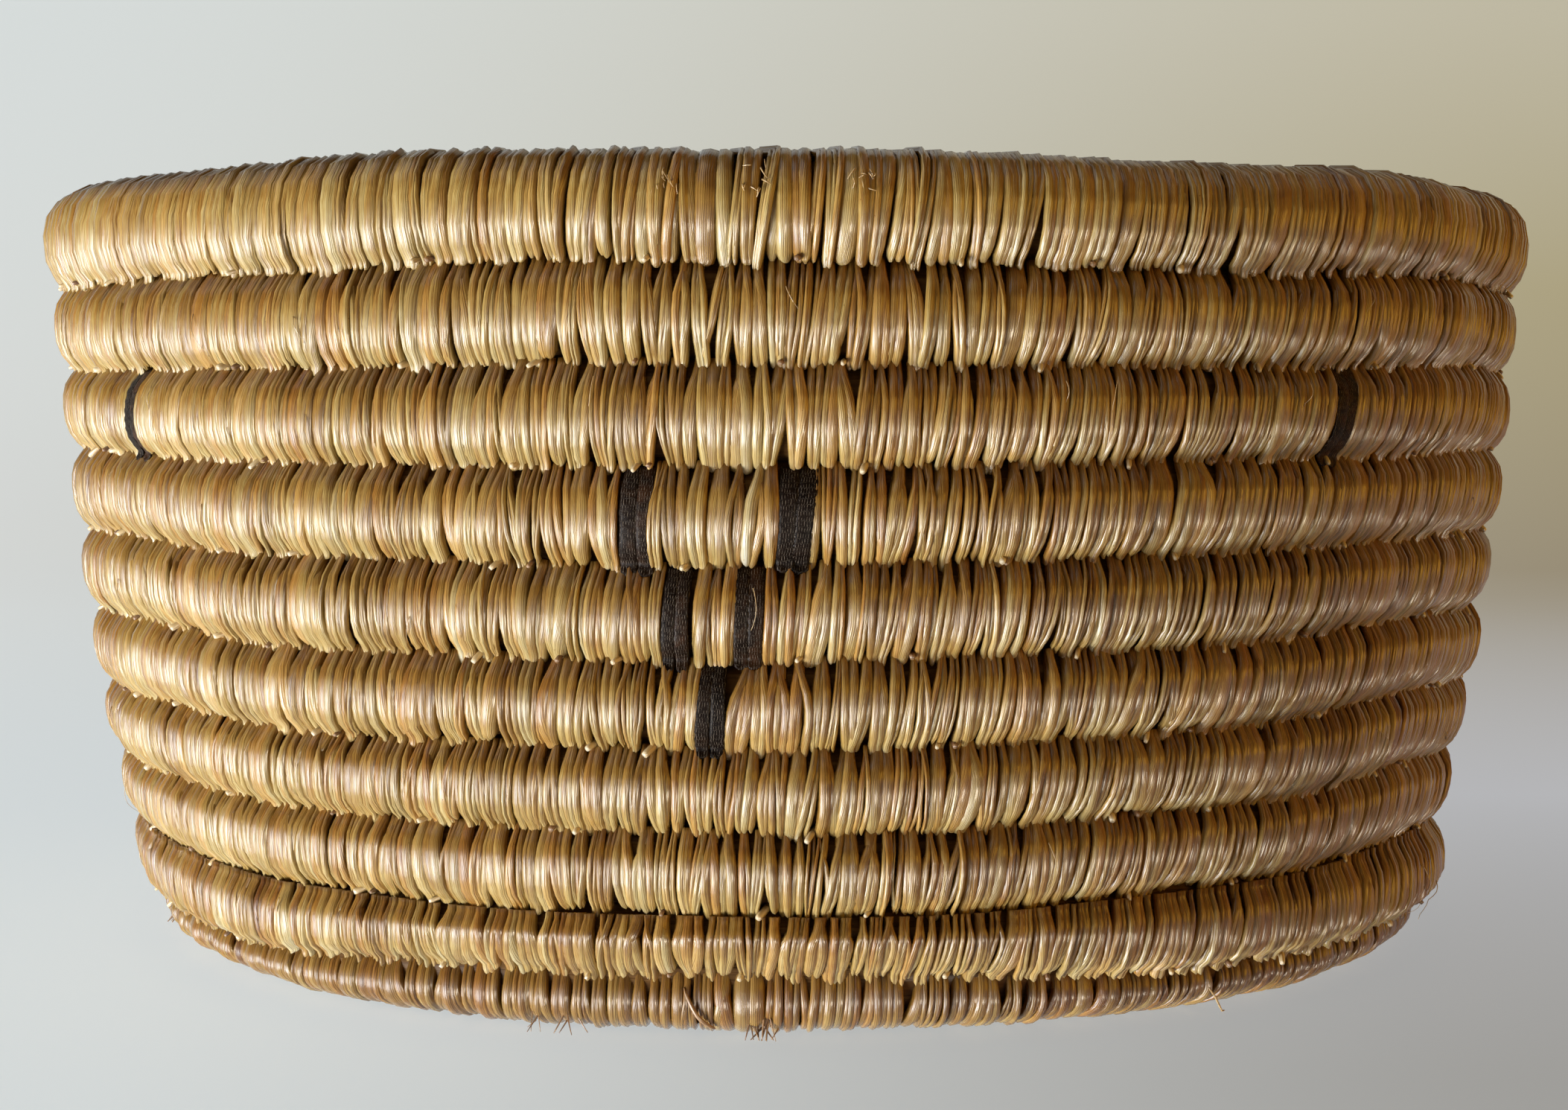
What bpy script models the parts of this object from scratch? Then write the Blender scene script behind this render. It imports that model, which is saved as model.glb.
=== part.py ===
"""A coiled grass basket, round and open, as an assembly of separate pieces.

One long bundle of grass winds from the middle of the base out to the foot and up the wall to the rim.
Grass strands are stitched closely round the bundle, turn by turn, and dark strips stand in for a few of
the stitches: a small V at each quarter of the wall and one upright bar between each two of them.

Metres, +Z up. The origin is the middle of the basket on the surface it stands on, and the front is -Y.
"""

import math

import bmesh
import bpy
import numpy as np

# Courses, counted as a maker counts them
WALL_COURSES = 9
BASE_ROUNDS = 10
SEGMENTS = 24
INNER_SEGMENTS = 12
INNER_ROUNDS = 3
SKIN_SIDES = 8
BUNDLE_SIDES = 6

# The path of the coil's middle, seen in a cut through the basket's axis
RIM_RADIUS = 0.1186
CORNER_RADIUS = 0.0108
START_RADIUS = 0.0028
FOOT_LEAN = math.radians(11.0)
RIM_LEAN = math.radians(2.2)

# How far apart neighbouring turns lie along that path
START_PITCH = 0.0046
FOOT_PITCH = 0.0108
RIM_PITCH = 0.0135
CORNER_THINNING = 0.0009

# The coil's own section
COIL_DEPTH = 0.0104
RIM_DEPTH = 0.0118
RIM_CROWN = 0.0005
STRAND_COVER = 0.0011
BUNDLE_CLEARANCE = 0.0003
TURN_GAP = 0.0004
SEAM_GAP = 0.0003

# The middle of the base is lifted a little off the surface
BASE_LIFT = 0.0016
LIFT_RADIUS = 0.080

# The tapered end of the coil, at the back of the rim
TIP_LENGTH = 0.075
TIP_HEIGHT = 0.0034
TIP_DEPTH = 0.0064
BUNDLE_END_LENGTH = 0.030

# Dark strips
STRIP_WIDTH = 0.0040
STRIP_THICKNESS = 0.0005
STRIP_CLEARANCE = 0.0003
UPPER_ARM_REACH = 0.0098
LOWER_ARM_REACH = 0.0046
STRIP_TUCK_SHARE = 0.30
MOTIF_TURN = math.radians(-4.2)
BAR_TURN = math.radians(-1.65)
BAR_COURSE = 3
UPPER_ARM_COURSE = 4
LOWER_ARM_COURSE = 5
POINT_COURSE = 6

# Turns and shares of a turn
GROWTH_TURNS = 2.0
CORNER_END_TURNS = 0.55
THINNING_TURNS = 1.3
CROWN_TURN_SHARE = 1.0 / 12.0
LEVEL_SHARE = 1.0

# Angles round the axis are measured from the front, and grow towards +X
FULL_TURN = 2.0 * math.pi
QUARTER_TURN = 0.5 * math.pi
SEGMENT_ANGLE = FULL_TURN / SEGMENTS
SEAM_ANGLE = MOTIF_TURN + math.pi + 0.5 * SEGMENT_ANGLE
TURNS = BASE_ROUNDS + WALL_COURSES

STRAW = (0.60, 0.41, 0.16)
BUNDLE_GRASS = (0.52, 0.40, 0.20)
DARK_STRIP = (0.035, 0.020, 0.015)


class CoilPath:
    """The coil's middle line in a cut through the axis: base, corner and wall, turn after turn."""

    def __init__(self):
        self.arc_angle = QUARTER_TURN - FOOT_LEAN
        arc_length = CORNER_RADIUS * self.arc_angle
        self.turns = np.linspace(0.0, TURNS + 1.0, (TURNS + 1) * 96 + 1)
        step = self.turns[1] - self.turns[0]
        spacing = self.pitch(self.turns)
        self.lengths = np.concatenate([[0.0], np.cumsum(0.5 * (spacing[1:] + spacing[:-1]) * step)])
        self.wall_start = float(np.interp(BASE_ROUNDS + CORNER_END_TURNS, self.turns, self.lengths))
        self.corner_start = self.wall_start - arc_length
        self.corner_turn = float(np.interp(self.wall_start - 0.5 * arc_length, self.lengths, self.turns))
        self.wall_length = float(np.interp(TURNS, self.turns, self.lengths)) - self.wall_start
        self.corner_run = CORNER_RADIUS * math.sin(self.arc_angle)
        self.corner_rise = CORNER_RADIUS * (1.0 - math.cos(self.arc_angle))
        rim_middle = float(np.interp(TURNS - 0.5, self.turns, self.lengths)) - self.wall_start
        self.flat_radius = RIM_RADIUS - self.wall_offset(rim_middle)[0] - self.corner_run
        self.base_scale = (self.flat_radius - START_RADIUS) / self.corner_start

    def pitch(self, turn):
        """Height of one turn: thin at the start, even over the base, growing up the wall."""
        turn = np.asarray(turn, float)
        start = START_PITCH + (FOOT_PITCH - START_PITCH) * np.clip(turn / GROWTH_TURNS, 0.0, 1.0)
        wall = (RIM_PITCH - FOOT_PITCH) * np.clip((turn - BASE_ROUNDS) / WALL_COURSES, 0.0, 1.0)
        return start + wall

    def spacing(self, turn):
        """Distance to the next turn: the pitch, drawn in or let out on the base to meet the corner."""
        length = float(np.interp(turn, self.turns, self.lengths))
        on_base = min(max((self.wall_start - length) / (self.wall_start - self.corner_start), 0.0), 1.0)
        return float(self.pitch(turn)) * (1.0 + (self.base_scale - 1.0) * on_base)

    def wall_offset(self, length):
        """Run outwards and rise from the wall's start, for a lean that falls evenly along the wall."""
        change = (FOOT_LEAN - RIM_LEAN) / self.wall_length
        lean = FOOT_LEAN - change * length
        run = (math.cos(lean) - math.cos(FOOT_LEAN)) / change
        rise = (math.sin(FOOT_LEAN) - math.sin(lean)) / change
        return run, rise

    def point(self, turn):
        """Radius and height of the coil's middle at a turn."""
        if turn <= 0.0:
            return START_RADIUS + turn * START_PITCH, 0.5 * COIL_DEPTH
        length = float(np.interp(turn, self.turns, self.lengths))
        level = 0.5 * COIL_DEPTH
        if length <= self.corner_start:
            return START_RADIUS + length * self.base_scale, level
        if length <= self.wall_start:
            angle = (length - self.corner_start) / CORNER_RADIUS
            radius = self.flat_radius + CORNER_RADIUS * math.sin(angle)
            return radius, level + CORNER_RADIUS * (1.0 - math.cos(angle))
        run, rise = self.wall_offset(length - self.wall_start)
        return self.flat_radius + self.corner_run + run, level + self.corner_rise + rise

    def place(self, turn):
        """Radius and height at a turn, and the direction from the turn before to the turn after."""
        radius, height = self.point(turn)
        before = self.point(turn - 0.5)
        after = self.point(turn + 0.5)
        return radius, height, math.atan2(after[1] - before[1], after[0] - before[0])


PATH = CoilPath()


def smooth_step(value):
    """0 below 0, 1 above 1, with a soft start and end between them."""
    value = min(max(value, 0.0), 1.0)
    return value * value * (3.0 - 2.0 * value)


def rim_share(turn):
    """How far a turn belongs to the rim course: 0 below it, 1 on it."""
    return smooth_step((turn - (TURNS - 1)) / CROWN_TURN_SHARE)


def tip_share(turn):
    """0 along the coil, growing to 1 at the tapered end."""
    left = (TURNS - turn) * FULL_TURN * RIM_RADIUS
    return smooth_step(1.0 - left / TIP_LENGTH)


def climb(turn):
    """The turn on the path for a turn round the axis: level at the front, with the climb at the back."""
    return turn + LEVEL_SHARE * math.sin(FULL_TURN * turn) / FULL_TURN


def coil_section(turn):
    """Lower edge, upper edge and half depth of the stitched coil at a turn, from its middle line."""
    on_path = climb(turn)
    half = 0.5 * (PATH.spacing(on_path) - TURN_GAP)
    from_corner = (on_path - PATH.corner_turn) / THINNING_TURNS
    half -= CORNER_THINNING * max(1.0 - from_corner * from_corner, 0.0)
    rim = rim_share(turn)
    lower = -half
    upper = half + RIM_CROWN * rim
    tip = tip_share(turn)
    upper += (lower + TIP_HEIGHT - upper) * tip
    depth = COIL_DEPTH * min(float(PATH.pitch(on_path)) / FOOT_PITCH, 1.0)
    depth += (RIM_DEPTH - depth) * rim
    depth += (TIP_DEPTH - depth) * tip
    return lower, upper, 0.5 * depth


def section_outline(turn, sides, inset):
    """Corners of the coil's section as (along the path, outwards), set in from the stitched surface."""
    lower, upper, half_depth = coil_section(turn)
    middle = 0.5 * (lower + upper)
    half_height = 0.5 * (upper - lower) - inset
    angles = [(corner + 0.5) * FULL_TURN / sides for corner in range(sides)]
    widest = max(abs(math.cos(angle)) for angle in angles)
    deepest = max(abs(math.sin(angle)) for angle in angles)
    return [
        (middle + half_height * math.cos(angle) / widest, (half_depth - inset) * math.sin(angle) / deepest)
        for angle in angles
    ]


def settle(radius, angle, height):
    """A point of the basket in space, with the middle of the base lifted."""
    if radius < LIFT_RADIUS:
        inward = 1.0 - (radius / LIFT_RADIUS) ** 2
        height += BASE_LIFT * inward * inward
    return radius * math.sin(angle), -radius * math.cos(angle), height


def coil_angle(turn):
    """Angle round the axis at a turn. The coil climbs towards the left, seen from outside."""
    return SEAM_ANGLE - FULL_TURN * (turn - TURNS)


def section_points(turn, sides, inset):
    """The section's corners as (radius, height), in the upright plane through the axis at that turn."""
    radius, height, slope = PATH.place(climb(turn))
    rise, run = math.sin(slope), math.cos(slope)
    skin = section_outline(turn, SKIN_SIDES, 0.0)
    lowest = min(height + along * rise - outward * run for along, outward in skin)
    height -= min(lowest, 0.0)
    return [
        (radius + along * run + outward * rise, height + along * rise - outward * run)
        for along, outward in section_outline(turn, sides, inset)
    ]


def coil_ring(turn, sides, inset):
    """The section's corners in space."""
    angle = coil_angle(turn)
    return [settle(radius, angle, height) for radius, height in section_points(turn, sides, inset)]


def ring_turns(first, last, per_turn):
    """Turns from first to last, with a ring on every whole share of a turn between them."""
    start = math.floor(first * per_turn) + 1
    inside = [step / per_turn for step in range(start, math.ceil(last * per_turn))]
    small = 0.2 / per_turn
    inside = [turn for turn in inside if turn - first > small and last - turn > small]
    return [first] + inside + [last]


def segments_at(turn):
    """Fewer segments on the small rounds in the middle of the base."""
    return INNER_SEGMENTS if turn < INNER_ROUNDS else SEGMENTS


def coil_turns(first, last):
    """Ring turns over a stretch, changing to fewer segments inside the small rounds."""
    if first < INNER_ROUNDS < last:
        inner = ring_turns(first, INNER_ROUNDS, INNER_SEGMENTS)
        return inner + ring_turns(INNER_ROUNDS, last, SEGMENTS)[1:]
    return ring_turns(first, last, segments_at(0.5 * (first + last)))


def bridge(mesh, ring_a, ring_b):
    """Quads between two rings with the same number of corners."""
    count = len(ring_a)
    for corner in range(count):
        after = (corner + 1) % count
        mesh.faces.new((ring_a[corner], ring_a[after], ring_b[after], ring_b[corner]))


def add_rings(mesh, turns, sides, inset):
    """Rings of vertices along the coil, joined by quads. Returns the rings."""
    rings = [[mesh.verts.new(point) for point in coil_ring(turn, sides, inset)] for turn in turns]
    for ring_a, ring_b in zip(rings, rings[1:]):
        bridge(mesh, ring_a, ring_b)
    return rings


def fan_between(mesh, outer, inner):
    """Closes the end of a sleeve: a flat ring of triangles between an outer and an inner outline."""
    middle = sum((vertex.co for vertex in outer), outer[0].co * 0.0) / len(outer)
    across = (outer[0].co - middle).normalized()
    normal = (outer[0].co - middle).cross(outer[1].co - middle).normalized()
    upward = normal.cross(across)

    def turn_of(vertex):
        offset = vertex.co - middle
        return math.atan2(offset.dot(upward), offset.dot(across)) % FULL_TURN

    outer_turns = [turn_of(vertex) for vertex in outer]
    outer_turns[0] = 0.0
    start = min(range(len(inner)), key=lambda index: turn_of(inner[index]))
    inner = inner[start:] + inner[:start]
    inner_turns = [turn_of(vertex) for vertex in inner]
    outer_turns.append(FULL_TURN)
    inner_turns.append(inner_turns[0] + FULL_TURN)
    outer_at = 0
    inner_at = 0
    while outer_at < len(outer) or inner_at < len(inner):
        outer_now = outer[outer_at % len(outer)]
        inner_now = inner[inner_at % len(inner)]
        take_outer = inner_at >= len(inner)
        if not take_outer and outer_at < len(outer):
            take_outer = outer_turns[outer_at + 1] <= inner_turns[inner_at + 1]
        if take_outer:
            outer_at += 1
            mesh.faces.new((outer_now, outer[outer_at % len(outer)], inner_now))
        else:
            inner_at += 1
            mesh.faces.new((outer_now, inner[inner_at % len(inner)], inner_now))


def finish_object(name, mesh, material, parent):
    """A named object from a bmesh, with its faces outwards, smooth where it is round."""
    bmesh.ops.recalc_face_normals(mesh, faces=mesh.faces)
    data = bpy.data.meshes.new(name)
    mesh.to_mesh(data)
    mesh.free()
    data.materials.append(material)
    data.shade_smooth()
    data.set_sharp_from_angle(angle=math.radians(50.0))
    made = bpy.data.objects.new(name, data)
    made.parent = parent
    bpy.context.scene.collection.objects.link(made)
    return made


def make_stitching(name, first, last, material, parent):
    """The stitches of one course: a sleeve round the bundle, open at both ends but for the coil's own ends."""
    mesh = bmesh.new()
    radius = PATH.point(0.5 * (first + last))[0]
    half_gap = 0.5 * SEAM_GAP / (FULL_TURN * radius)
    starts_coil = first <= 0.0
    ends_coil = last >= TURNS
    outer_first = 0.0 if starts_coil else first + half_gap
    outer_last = TURNS if ends_coil else last - half_gap
    outer = add_rings(mesh, coil_turns(outer_first, outer_last), SKIN_SIDES, 0.0)
    bore_first, bore_last = bundle_limits()
    bore_first = bore_first - half_gap * 2.0 if starts_coil else outer_first
    bore_last = bore_last + half_gap * 2.0 if ends_coil else outer_last
    bore = add_rings(mesh, coil_turns(bore_first, bore_last), BUNDLE_SIDES, STRAND_COVER)
    if starts_coil:
        mesh.faces.new(outer[0])
        mesh.faces.new(bore[0])
    else:
        fan_between(mesh, outer[0], bore[0])
    if ends_coil:
        mesh.faces.new(outer[-1])
        mesh.faces.new(bore[-1])
    else:
        fan_between(mesh, outer[-1], bore[-1])
    return finish_object(name, mesh, material, parent)


def bundle_limits():
    """First and last turn of the grass bundle inside the stitches."""
    start_length = 2.0 * STRAND_COVER
    first = start_length / (FULL_TURN * START_RADIUS)
    last = TURNS - BUNDLE_END_LENGTH / (FULL_TURN * RIM_RADIUS)
    return first, last


def make_bundle(name, material, parent):
    """The grass bundle: one unbroken length from the middle of the base to the rim."""
    mesh = bmesh.new()
    first, last = bundle_limits()
    inset = STRAND_COVER + BUNDLE_CLEARANCE
    rings = add_rings(mesh, coil_turns(first, last), BUNDLE_SIDES, inset)
    mesh.faces.new(rings[0])
    mesh.faces.new(rings[-1])
    return finish_object(name, mesh, material, parent)


def strip_turn(course, angle):
    """The turn at which a course passes an angle from the front."""
    past = (angle - SEAM_ANGLE) % FULL_TURN
    return TURNS - (course - 1) - past / FULL_TURN


def strip_outline(turn_a, turn_b, share, outset):
    """The strip's line over the coil's outer side, on the flat between two rings of the skin."""
    ring_a = coil_ring(turn_a, SKIN_SIDES, -outset)
    ring_b = coil_ring(turn_b, SKIN_SIDES, -outset)
    ring = [np.array(a) + (np.array(b) - np.array(a)) * share for a, b in zip(ring_a, ring_b)]
    top, upper, lower, bottom = ring[0], ring[1], ring[2], ring[3]
    return [top + (upper - top) * STRIP_TUCK_SHARE, upper, lower, bottom + (lower - bottom) * STRIP_TUCK_SHARE]


def make_strip(name, course, angle, offset, material, parent):
    """One dark strip over the outer side of a course, its ends tucked towards the grooves."""
    turn = strip_turn(course, angle)
    turn_a = math.floor(turn * SEGMENTS) / SEGMENTS
    turn_b = turn_a + 1.0 / SEGMENTS
    radius = PATH.point(turn)[0]
    length = radius * SEGMENT_ANGLE
    middle = (turn - turn_a) * SEGMENTS - offset / length
    half = 0.5 * STRIP_WIDTH / length
    mesh = bmesh.new()
    loops = []
    for share in (middle - half, middle + half):
        near = strip_outline(turn_a, turn_b, share, STRIP_CLEARANCE)
        far = strip_outline(turn_a, turn_b, share, STRIP_CLEARANCE + STRIP_THICKNESS)
        loops.append([mesh.verts.new(point) for point in near + far[::-1]])
    bridge(mesh, loops[0], loops[1])
    half_count = len(loops[0]) // 2
    for loop in loops:
        for step in range(half_count - 1):
            mesh.faces.new((loop[step], loop[step + 1], loop[-2 - step], loop[-1 - step]))
    return finish_object(name, mesh, material, parent)


def make_material(name, colour, roughness):
    """A plain surface finish."""
    made = bpy.data.materials.new(name)
    made.use_nodes = True
    shader = made.node_tree.nodes["Principled BSDF"]
    shader.inputs["Base Color"].default_value = (*colour, 1.0)
    shader.inputs["Roughness"].default_value = roughness
    shader.inputs["Metallic"].default_value = 0.0
    return made


def outline_points(turn, sides, inset, per_side):
    """Points along a section's edges in the cut through the axis, for measuring gaps."""
    corners = np.array(section_points(turn, sides, inset))
    shares = np.arange(per_side)[:, None, None] / per_side
    return (corners + (np.roll(corners, -1, axis=0) - corners) * shares).reshape(-1, 2)


def least_gap(sides, inset):
    """The least distance between one turn of a tube and the next, measured on points of their sections."""
    first, last = bundle_limits()
    least = math.inf
    at_turn = first
    for turn in np.arange(first, last - 1.0, 0.5 / SEGMENTS):
        here = outline_points(turn, sides, inset, 12)
        above = outline_points(turn + 1.0, sides, inset, 12)
        apart = np.sqrt(((here[:, None] - above[None]) ** 2).sum(-1)).min()
        if apart < least:
            least = float(apart)
            at_turn = float(turn)
    return least, at_turn


def make_basket():
    """Builds every piece of the basket."""
    for old in list(bpy.data.objects):
        bpy.data.objects.remove(old, do_unlink=True)
    basket = bpy.data.objects.new("basket", None)
    bpy.context.scene.collection.objects.link(basket)
    straw = make_material("straw_stitches", STRAW, 0.42)
    grass = make_material("bundle_grass", BUNDLE_GRASS, 0.8)
    dark = make_material("dark_strip", DARK_STRIP, 0.45)

    make_bundle("foundation_coil", grass, basket)
    for course in range(1, WALL_COURSES + 1):
        name = "stitched_rim_course" if course == 1 else f"stitched_wall_course_{course:02d}"
        make_stitching(name, TURNS - course, TURNS - course + 1, straw, basket)
    for ring in range(1, BASE_ROUNDS + 1):
        make_stitching(f"stitched_base_round_{ring:02d}", ring - 1, ring, straw, basket)

    sides = ("front", "right", "back", "left")
    for index, side in enumerate(sides):
        angle = MOTIF_TURN + index * QUARTER_TURN
        make_strip(f"dark_{side}_upper_left", UPPER_ARM_COURSE, angle, -UPPER_ARM_REACH, dark, basket)
        make_strip(f"dark_{side}_upper_right", UPPER_ARM_COURSE, angle, UPPER_ARM_REACH, dark, basket)
        make_strip(f"dark_{side}_lower_left", LOWER_ARM_COURSE, angle, -LOWER_ARM_REACH, dark, basket)
        make_strip(f"dark_{side}_lower_right", LOWER_ARM_COURSE, angle, LOWER_ARM_REACH, dark, basket)
        make_strip(f"dark_{side}_point", POINT_COURSE, angle, 0.0, dark, basket)
    corners = ("front_right", "back_right", "back_left", "front_left")
    for index, corner in enumerate(corners):
        angle = MOTIF_TURN + BAR_TURN + (index + 0.5) * QUARTER_TURN
        make_strip(f"dark_{corner}_bar", BAR_COURSE, angle, 0.0, dark, basket)

    bundle_gap, bundle_turn = least_gap(BUNDLE_SIDES, STRAND_COVER + BUNDLE_CLEARANCE)
    skin_gap, skin_turn = least_gap(SKIN_SIDES, 0.0)
    print(f"least gap of the bundle to itself: {bundle_gap * 1000:.2f} mm at turn {bundle_turn:.2f}")
    print(f"least gap between stitched turns: {skin_gap * 1000:.2f} mm at turn {skin_turn:.2f}")
    for course in range(1, 12):
        radius, height, slope = PATH.place(TURNS - course + 0.5)
        print(f"course {course}: {radius * 1000:.1f}, {height * 1000:.1f}, {math.degrees(slope):.0f}")


make_basket()
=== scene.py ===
# %% [markdown]
# # A coiled grass basket
# The basket is one long bundle of grass, wound from the middle of the base up to the rim, and covered
# with flat grass strands that are stitched round it side by side. The CAD frame holds its pieces as plain
# solids. Here each of them gets its real surface: thousands of separate strands, the dark wraps of the
# pattern, strand ends and loose fibres.

# %% Load the frame
import math

import bpy
import numpy as np
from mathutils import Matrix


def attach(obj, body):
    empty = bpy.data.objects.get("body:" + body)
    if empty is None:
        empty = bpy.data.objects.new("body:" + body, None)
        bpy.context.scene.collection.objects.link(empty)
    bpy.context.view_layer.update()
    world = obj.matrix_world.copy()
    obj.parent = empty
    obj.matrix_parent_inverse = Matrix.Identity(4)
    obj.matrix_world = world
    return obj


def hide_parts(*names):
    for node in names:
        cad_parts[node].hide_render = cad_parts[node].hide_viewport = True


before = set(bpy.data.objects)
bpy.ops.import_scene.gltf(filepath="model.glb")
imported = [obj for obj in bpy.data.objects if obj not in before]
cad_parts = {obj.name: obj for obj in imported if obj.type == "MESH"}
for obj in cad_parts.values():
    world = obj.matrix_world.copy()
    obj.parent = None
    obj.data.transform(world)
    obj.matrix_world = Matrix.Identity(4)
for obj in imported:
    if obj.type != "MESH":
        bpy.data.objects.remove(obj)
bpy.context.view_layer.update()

BODY = "root"
scene = bpy.context.scene
print("pieces in the frame:", len(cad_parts))

# %% [markdown]
# ## The camera
# The photograph was taken with a phone, a little below the rim and about 40 cm away, so the lens is wide
# and the courses curve: those above the lens bow upwards, those below it bow down. The numbers could be
# guessed by eye; here they come from fitting the curves of the courses.

# %% Camera
PHOTO_WIDTH = 2106
FOCAL_PIXELS = 3158.0
CAMERA_DISTANCE = 0.413
CAMERA_HEIGHT = 0.0857
CAMERA_SIDE = 0.0003
CAMERA_PITCH = math.radians(-3.74)
SENSOR = 36.0

camera_data = bpy.data.cameras.new("camera")
camera_data.sensor_fit = "HORIZONTAL"
camera_data.sensor_width = SENSOR
camera_data.lens = SENSOR * FOCAL_PIXELS / PHOTO_WIDTH
camera_data.clip_start = 0.01
camera = bpy.data.objects.new("camera", camera_data)
camera.location = (CAMERA_SIDE, -CAMERA_DISTANCE, CAMERA_HEIGHT)
camera.rotation_euler = (math.radians(90.0) + CAMERA_PITCH, 0.0, 0.0)
scene.collection.objects.link(camera)
scene.camera = camera
print("lens", round(camera_data.lens, 2), "mm")

# %% [markdown]
# ## Small helpers
# Every new piece is an array of points and an array of faces, so one helper turns the two into an object.
# It also stores a UV map, for patterns that follow a strand, and named values on the points of the mesh,
# such as how light or dark each strand is.

# %% Mesh helpers
def make_object(name, points, faces, uv=None, values=None):
    """An object from points (n, 3) and faces (m, 4); uv is (n, 2), and values holds (n,) arrays by name."""
    faces = np.ascontiguousarray(faces, dtype=np.int32)
    count, corners = faces.shape
    mesh = bpy.data.meshes.new(name)
    mesh.vertices.add(len(points))
    mesh.vertices.foreach_set("co", np.asarray(points, np.float32).ravel())
    mesh.loops.add(count * corners)
    mesh.loops.foreach_set("vertex_index", faces.ravel())
    mesh.polygons.add(count)
    mesh.polygons.foreach_set("loop_start", np.arange(0, count * corners, corners, dtype=np.int32))
    mesh.update(calc_edges=True)
    mesh.polygons.foreach_set("use_smooth", np.ones(count, bool))
    if uv is not None:
        layer = mesh.uv_layers.new(name="along")
        layer.data.foreach_set("uv", np.asarray(uv, np.float32)[faces.ravel()].ravel())
    for key, value in (values or {}).items():
        layer = mesh.attributes.new(key, "FLOAT", "POINT")
        layer.data.foreach_set("value", np.asarray(value, np.float32).ravel())
    made = bpy.data.objects.new(name, mesh)
    scene.collection.objects.link(made)
    return made


def add_piece(name, mesh, material, slot, *nodes):
    """Makes a piece and gives it its material and its body, and hides the CAD nodes that it stands for. The
    slot is not used. A mesh is points, faces, UV and values."""
    piece = make_object(name, *mesh)
    piece.data.materials.append(material)
    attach(piece, BODY)
    if nodes:
        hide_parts(*nodes)


def join_parts(parts):
    """One mesh from several: points, faces, UV and values put one after the other."""
    starts = np.cumsum([0] + [len(part[0]) for part in parts[:-1]])
    points = np.concatenate([part[0] for part in parts])
    faces = np.concatenate([part[1] + start for part, start in zip(parts, starts)])
    uv = np.concatenate([part[2] for part in parts])
    values = {key: np.concatenate([part[3][key] for part in parts]) for key in parts[0][3]}
    return points, faces, uv, values


def together(*arrays):
    """Arrays broadcast to one shape and stacked as a new last axis, such as x, y and z of points."""
    return np.stack(np.broadcast_arrays(*arrays), -1)


def soft(value):
    """0 below 0, 1 above 1, and a smooth curve with level ends between them."""
    value = np.clip(value, 0.0, 1.0)
    return value * value * (3.0 - 2.0 * value)


def signed_power(value, power):
    """|value| ** power with the sign of value. Of a sine and a cosine it gives a superellipse."""
    return np.sign(value) * np.abs(value) ** power


# %% [markdown]
# ## The coil's path
# Everything on the basket lies somewhere along the coil, so a place is easiest to say in the coil's own
# terms: how many turns from the start, how far up or down from the middle of the coil, and how far out of
# the wall. One function turns those three numbers into metres. The same path as in the CAD part is worked
# out again here: a flat base, a tight corner and a wall that leans out a little less towards the rim.

# %% Path sizes
WALL_COURSES = 9
BASE_ROUNDS = 10
TURNS = WALL_COURSES + BASE_ROUNDS
START_RADIUS, CORNER_RADIUS, RIM_RADIUS = 0.0028, 0.0108, 0.1186
FOOT_LEAN = math.radians(11.0)
RIM_LEAN = math.radians(2.2)
START_PITCH, FOOT_PITCH, RIM_PITCH = 0.0046, 0.0108, 0.0135
CORNER_THINNING = 0.0009
CORNER_END_TURNS = 0.55
THINNING_TURNS = 1.3
GROWTH_TURNS = 2.0
COIL_DEPTH, RIM_DEPTH = 0.0104, 0.0117
RIM_CROWN = 0.0008
CROWN_TURNS = 1.0 / 12.0
BASE_LIFT = 0.0016
LIFT_RADIUS = 0.080
TIP_LENGTH, TIP_HEIGHT, TIP_DEPTH = 0.075, 0.0034, 0.0064
MOTIF_TURN = math.radians(-4.2)
BAR_TURN = math.radians(-1.65)
SEAM_ANGLE = MOTIF_TURN + math.pi + math.pi / 24.0
FULL_TURN = 2.0 * math.pi
QUARTER_TURN = 0.5 * math.pi
print("turns of the coil:", TURNS)


# %% Path tables
def pitch_at(turn):
    """Height of a turn: grows over the first two turns, stays level over the base, grows up the wall."""
    start = START_PITCH + (FOOT_PITCH - START_PITCH) * np.clip(turn / GROWTH_TURNS, 0.0, 1.0)
    return start + (RIM_PITCH - FOOT_PITCH) * np.clip((turn - BASE_ROUNDS) / WALL_COURSES, 0.0, 1.0)


STEPS_A_TURN = 96
path_turn = np.arange(-STEPS_A_TURN, (TURNS + 1) * STEPS_A_TURN + 1) / STEPS_A_TURN
spacing = pitch_at(np.maximum(path_turn, 0.0))
path_length = np.concatenate([[0.0], np.cumsum(0.5 * (spacing[1:] + spacing[:-1]) / STEPS_A_TURN)])
path_length -= np.interp(0.0, path_turn, path_length)
arc_angle = QUARTER_TURN - FOOT_LEAN
arc_length = CORNER_RADIUS * arc_angle
wall_start = np.interp(BASE_ROUNDS + CORNER_END_TURNS, path_turn, path_length)
corner_start = wall_start - arc_length
corner_turn = np.interp(wall_start - 0.5 * arc_length, path_length, path_turn)
wall_length = np.interp(TURNS, path_turn, path_length) - wall_start
lean_change = (FOOT_LEAN - RIM_LEAN) / wall_length


def wall_offset(length):
    """Run and rise up the wall, for a lean that falls evenly with the length climbed."""
    lean = FOOT_LEAN - lean_change * length
    run = (np.cos(lean) - math.cos(FOOT_LEAN)) / lean_change
    return run, (math.sin(FOOT_LEAN) - np.sin(lean)) / lean_change


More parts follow.
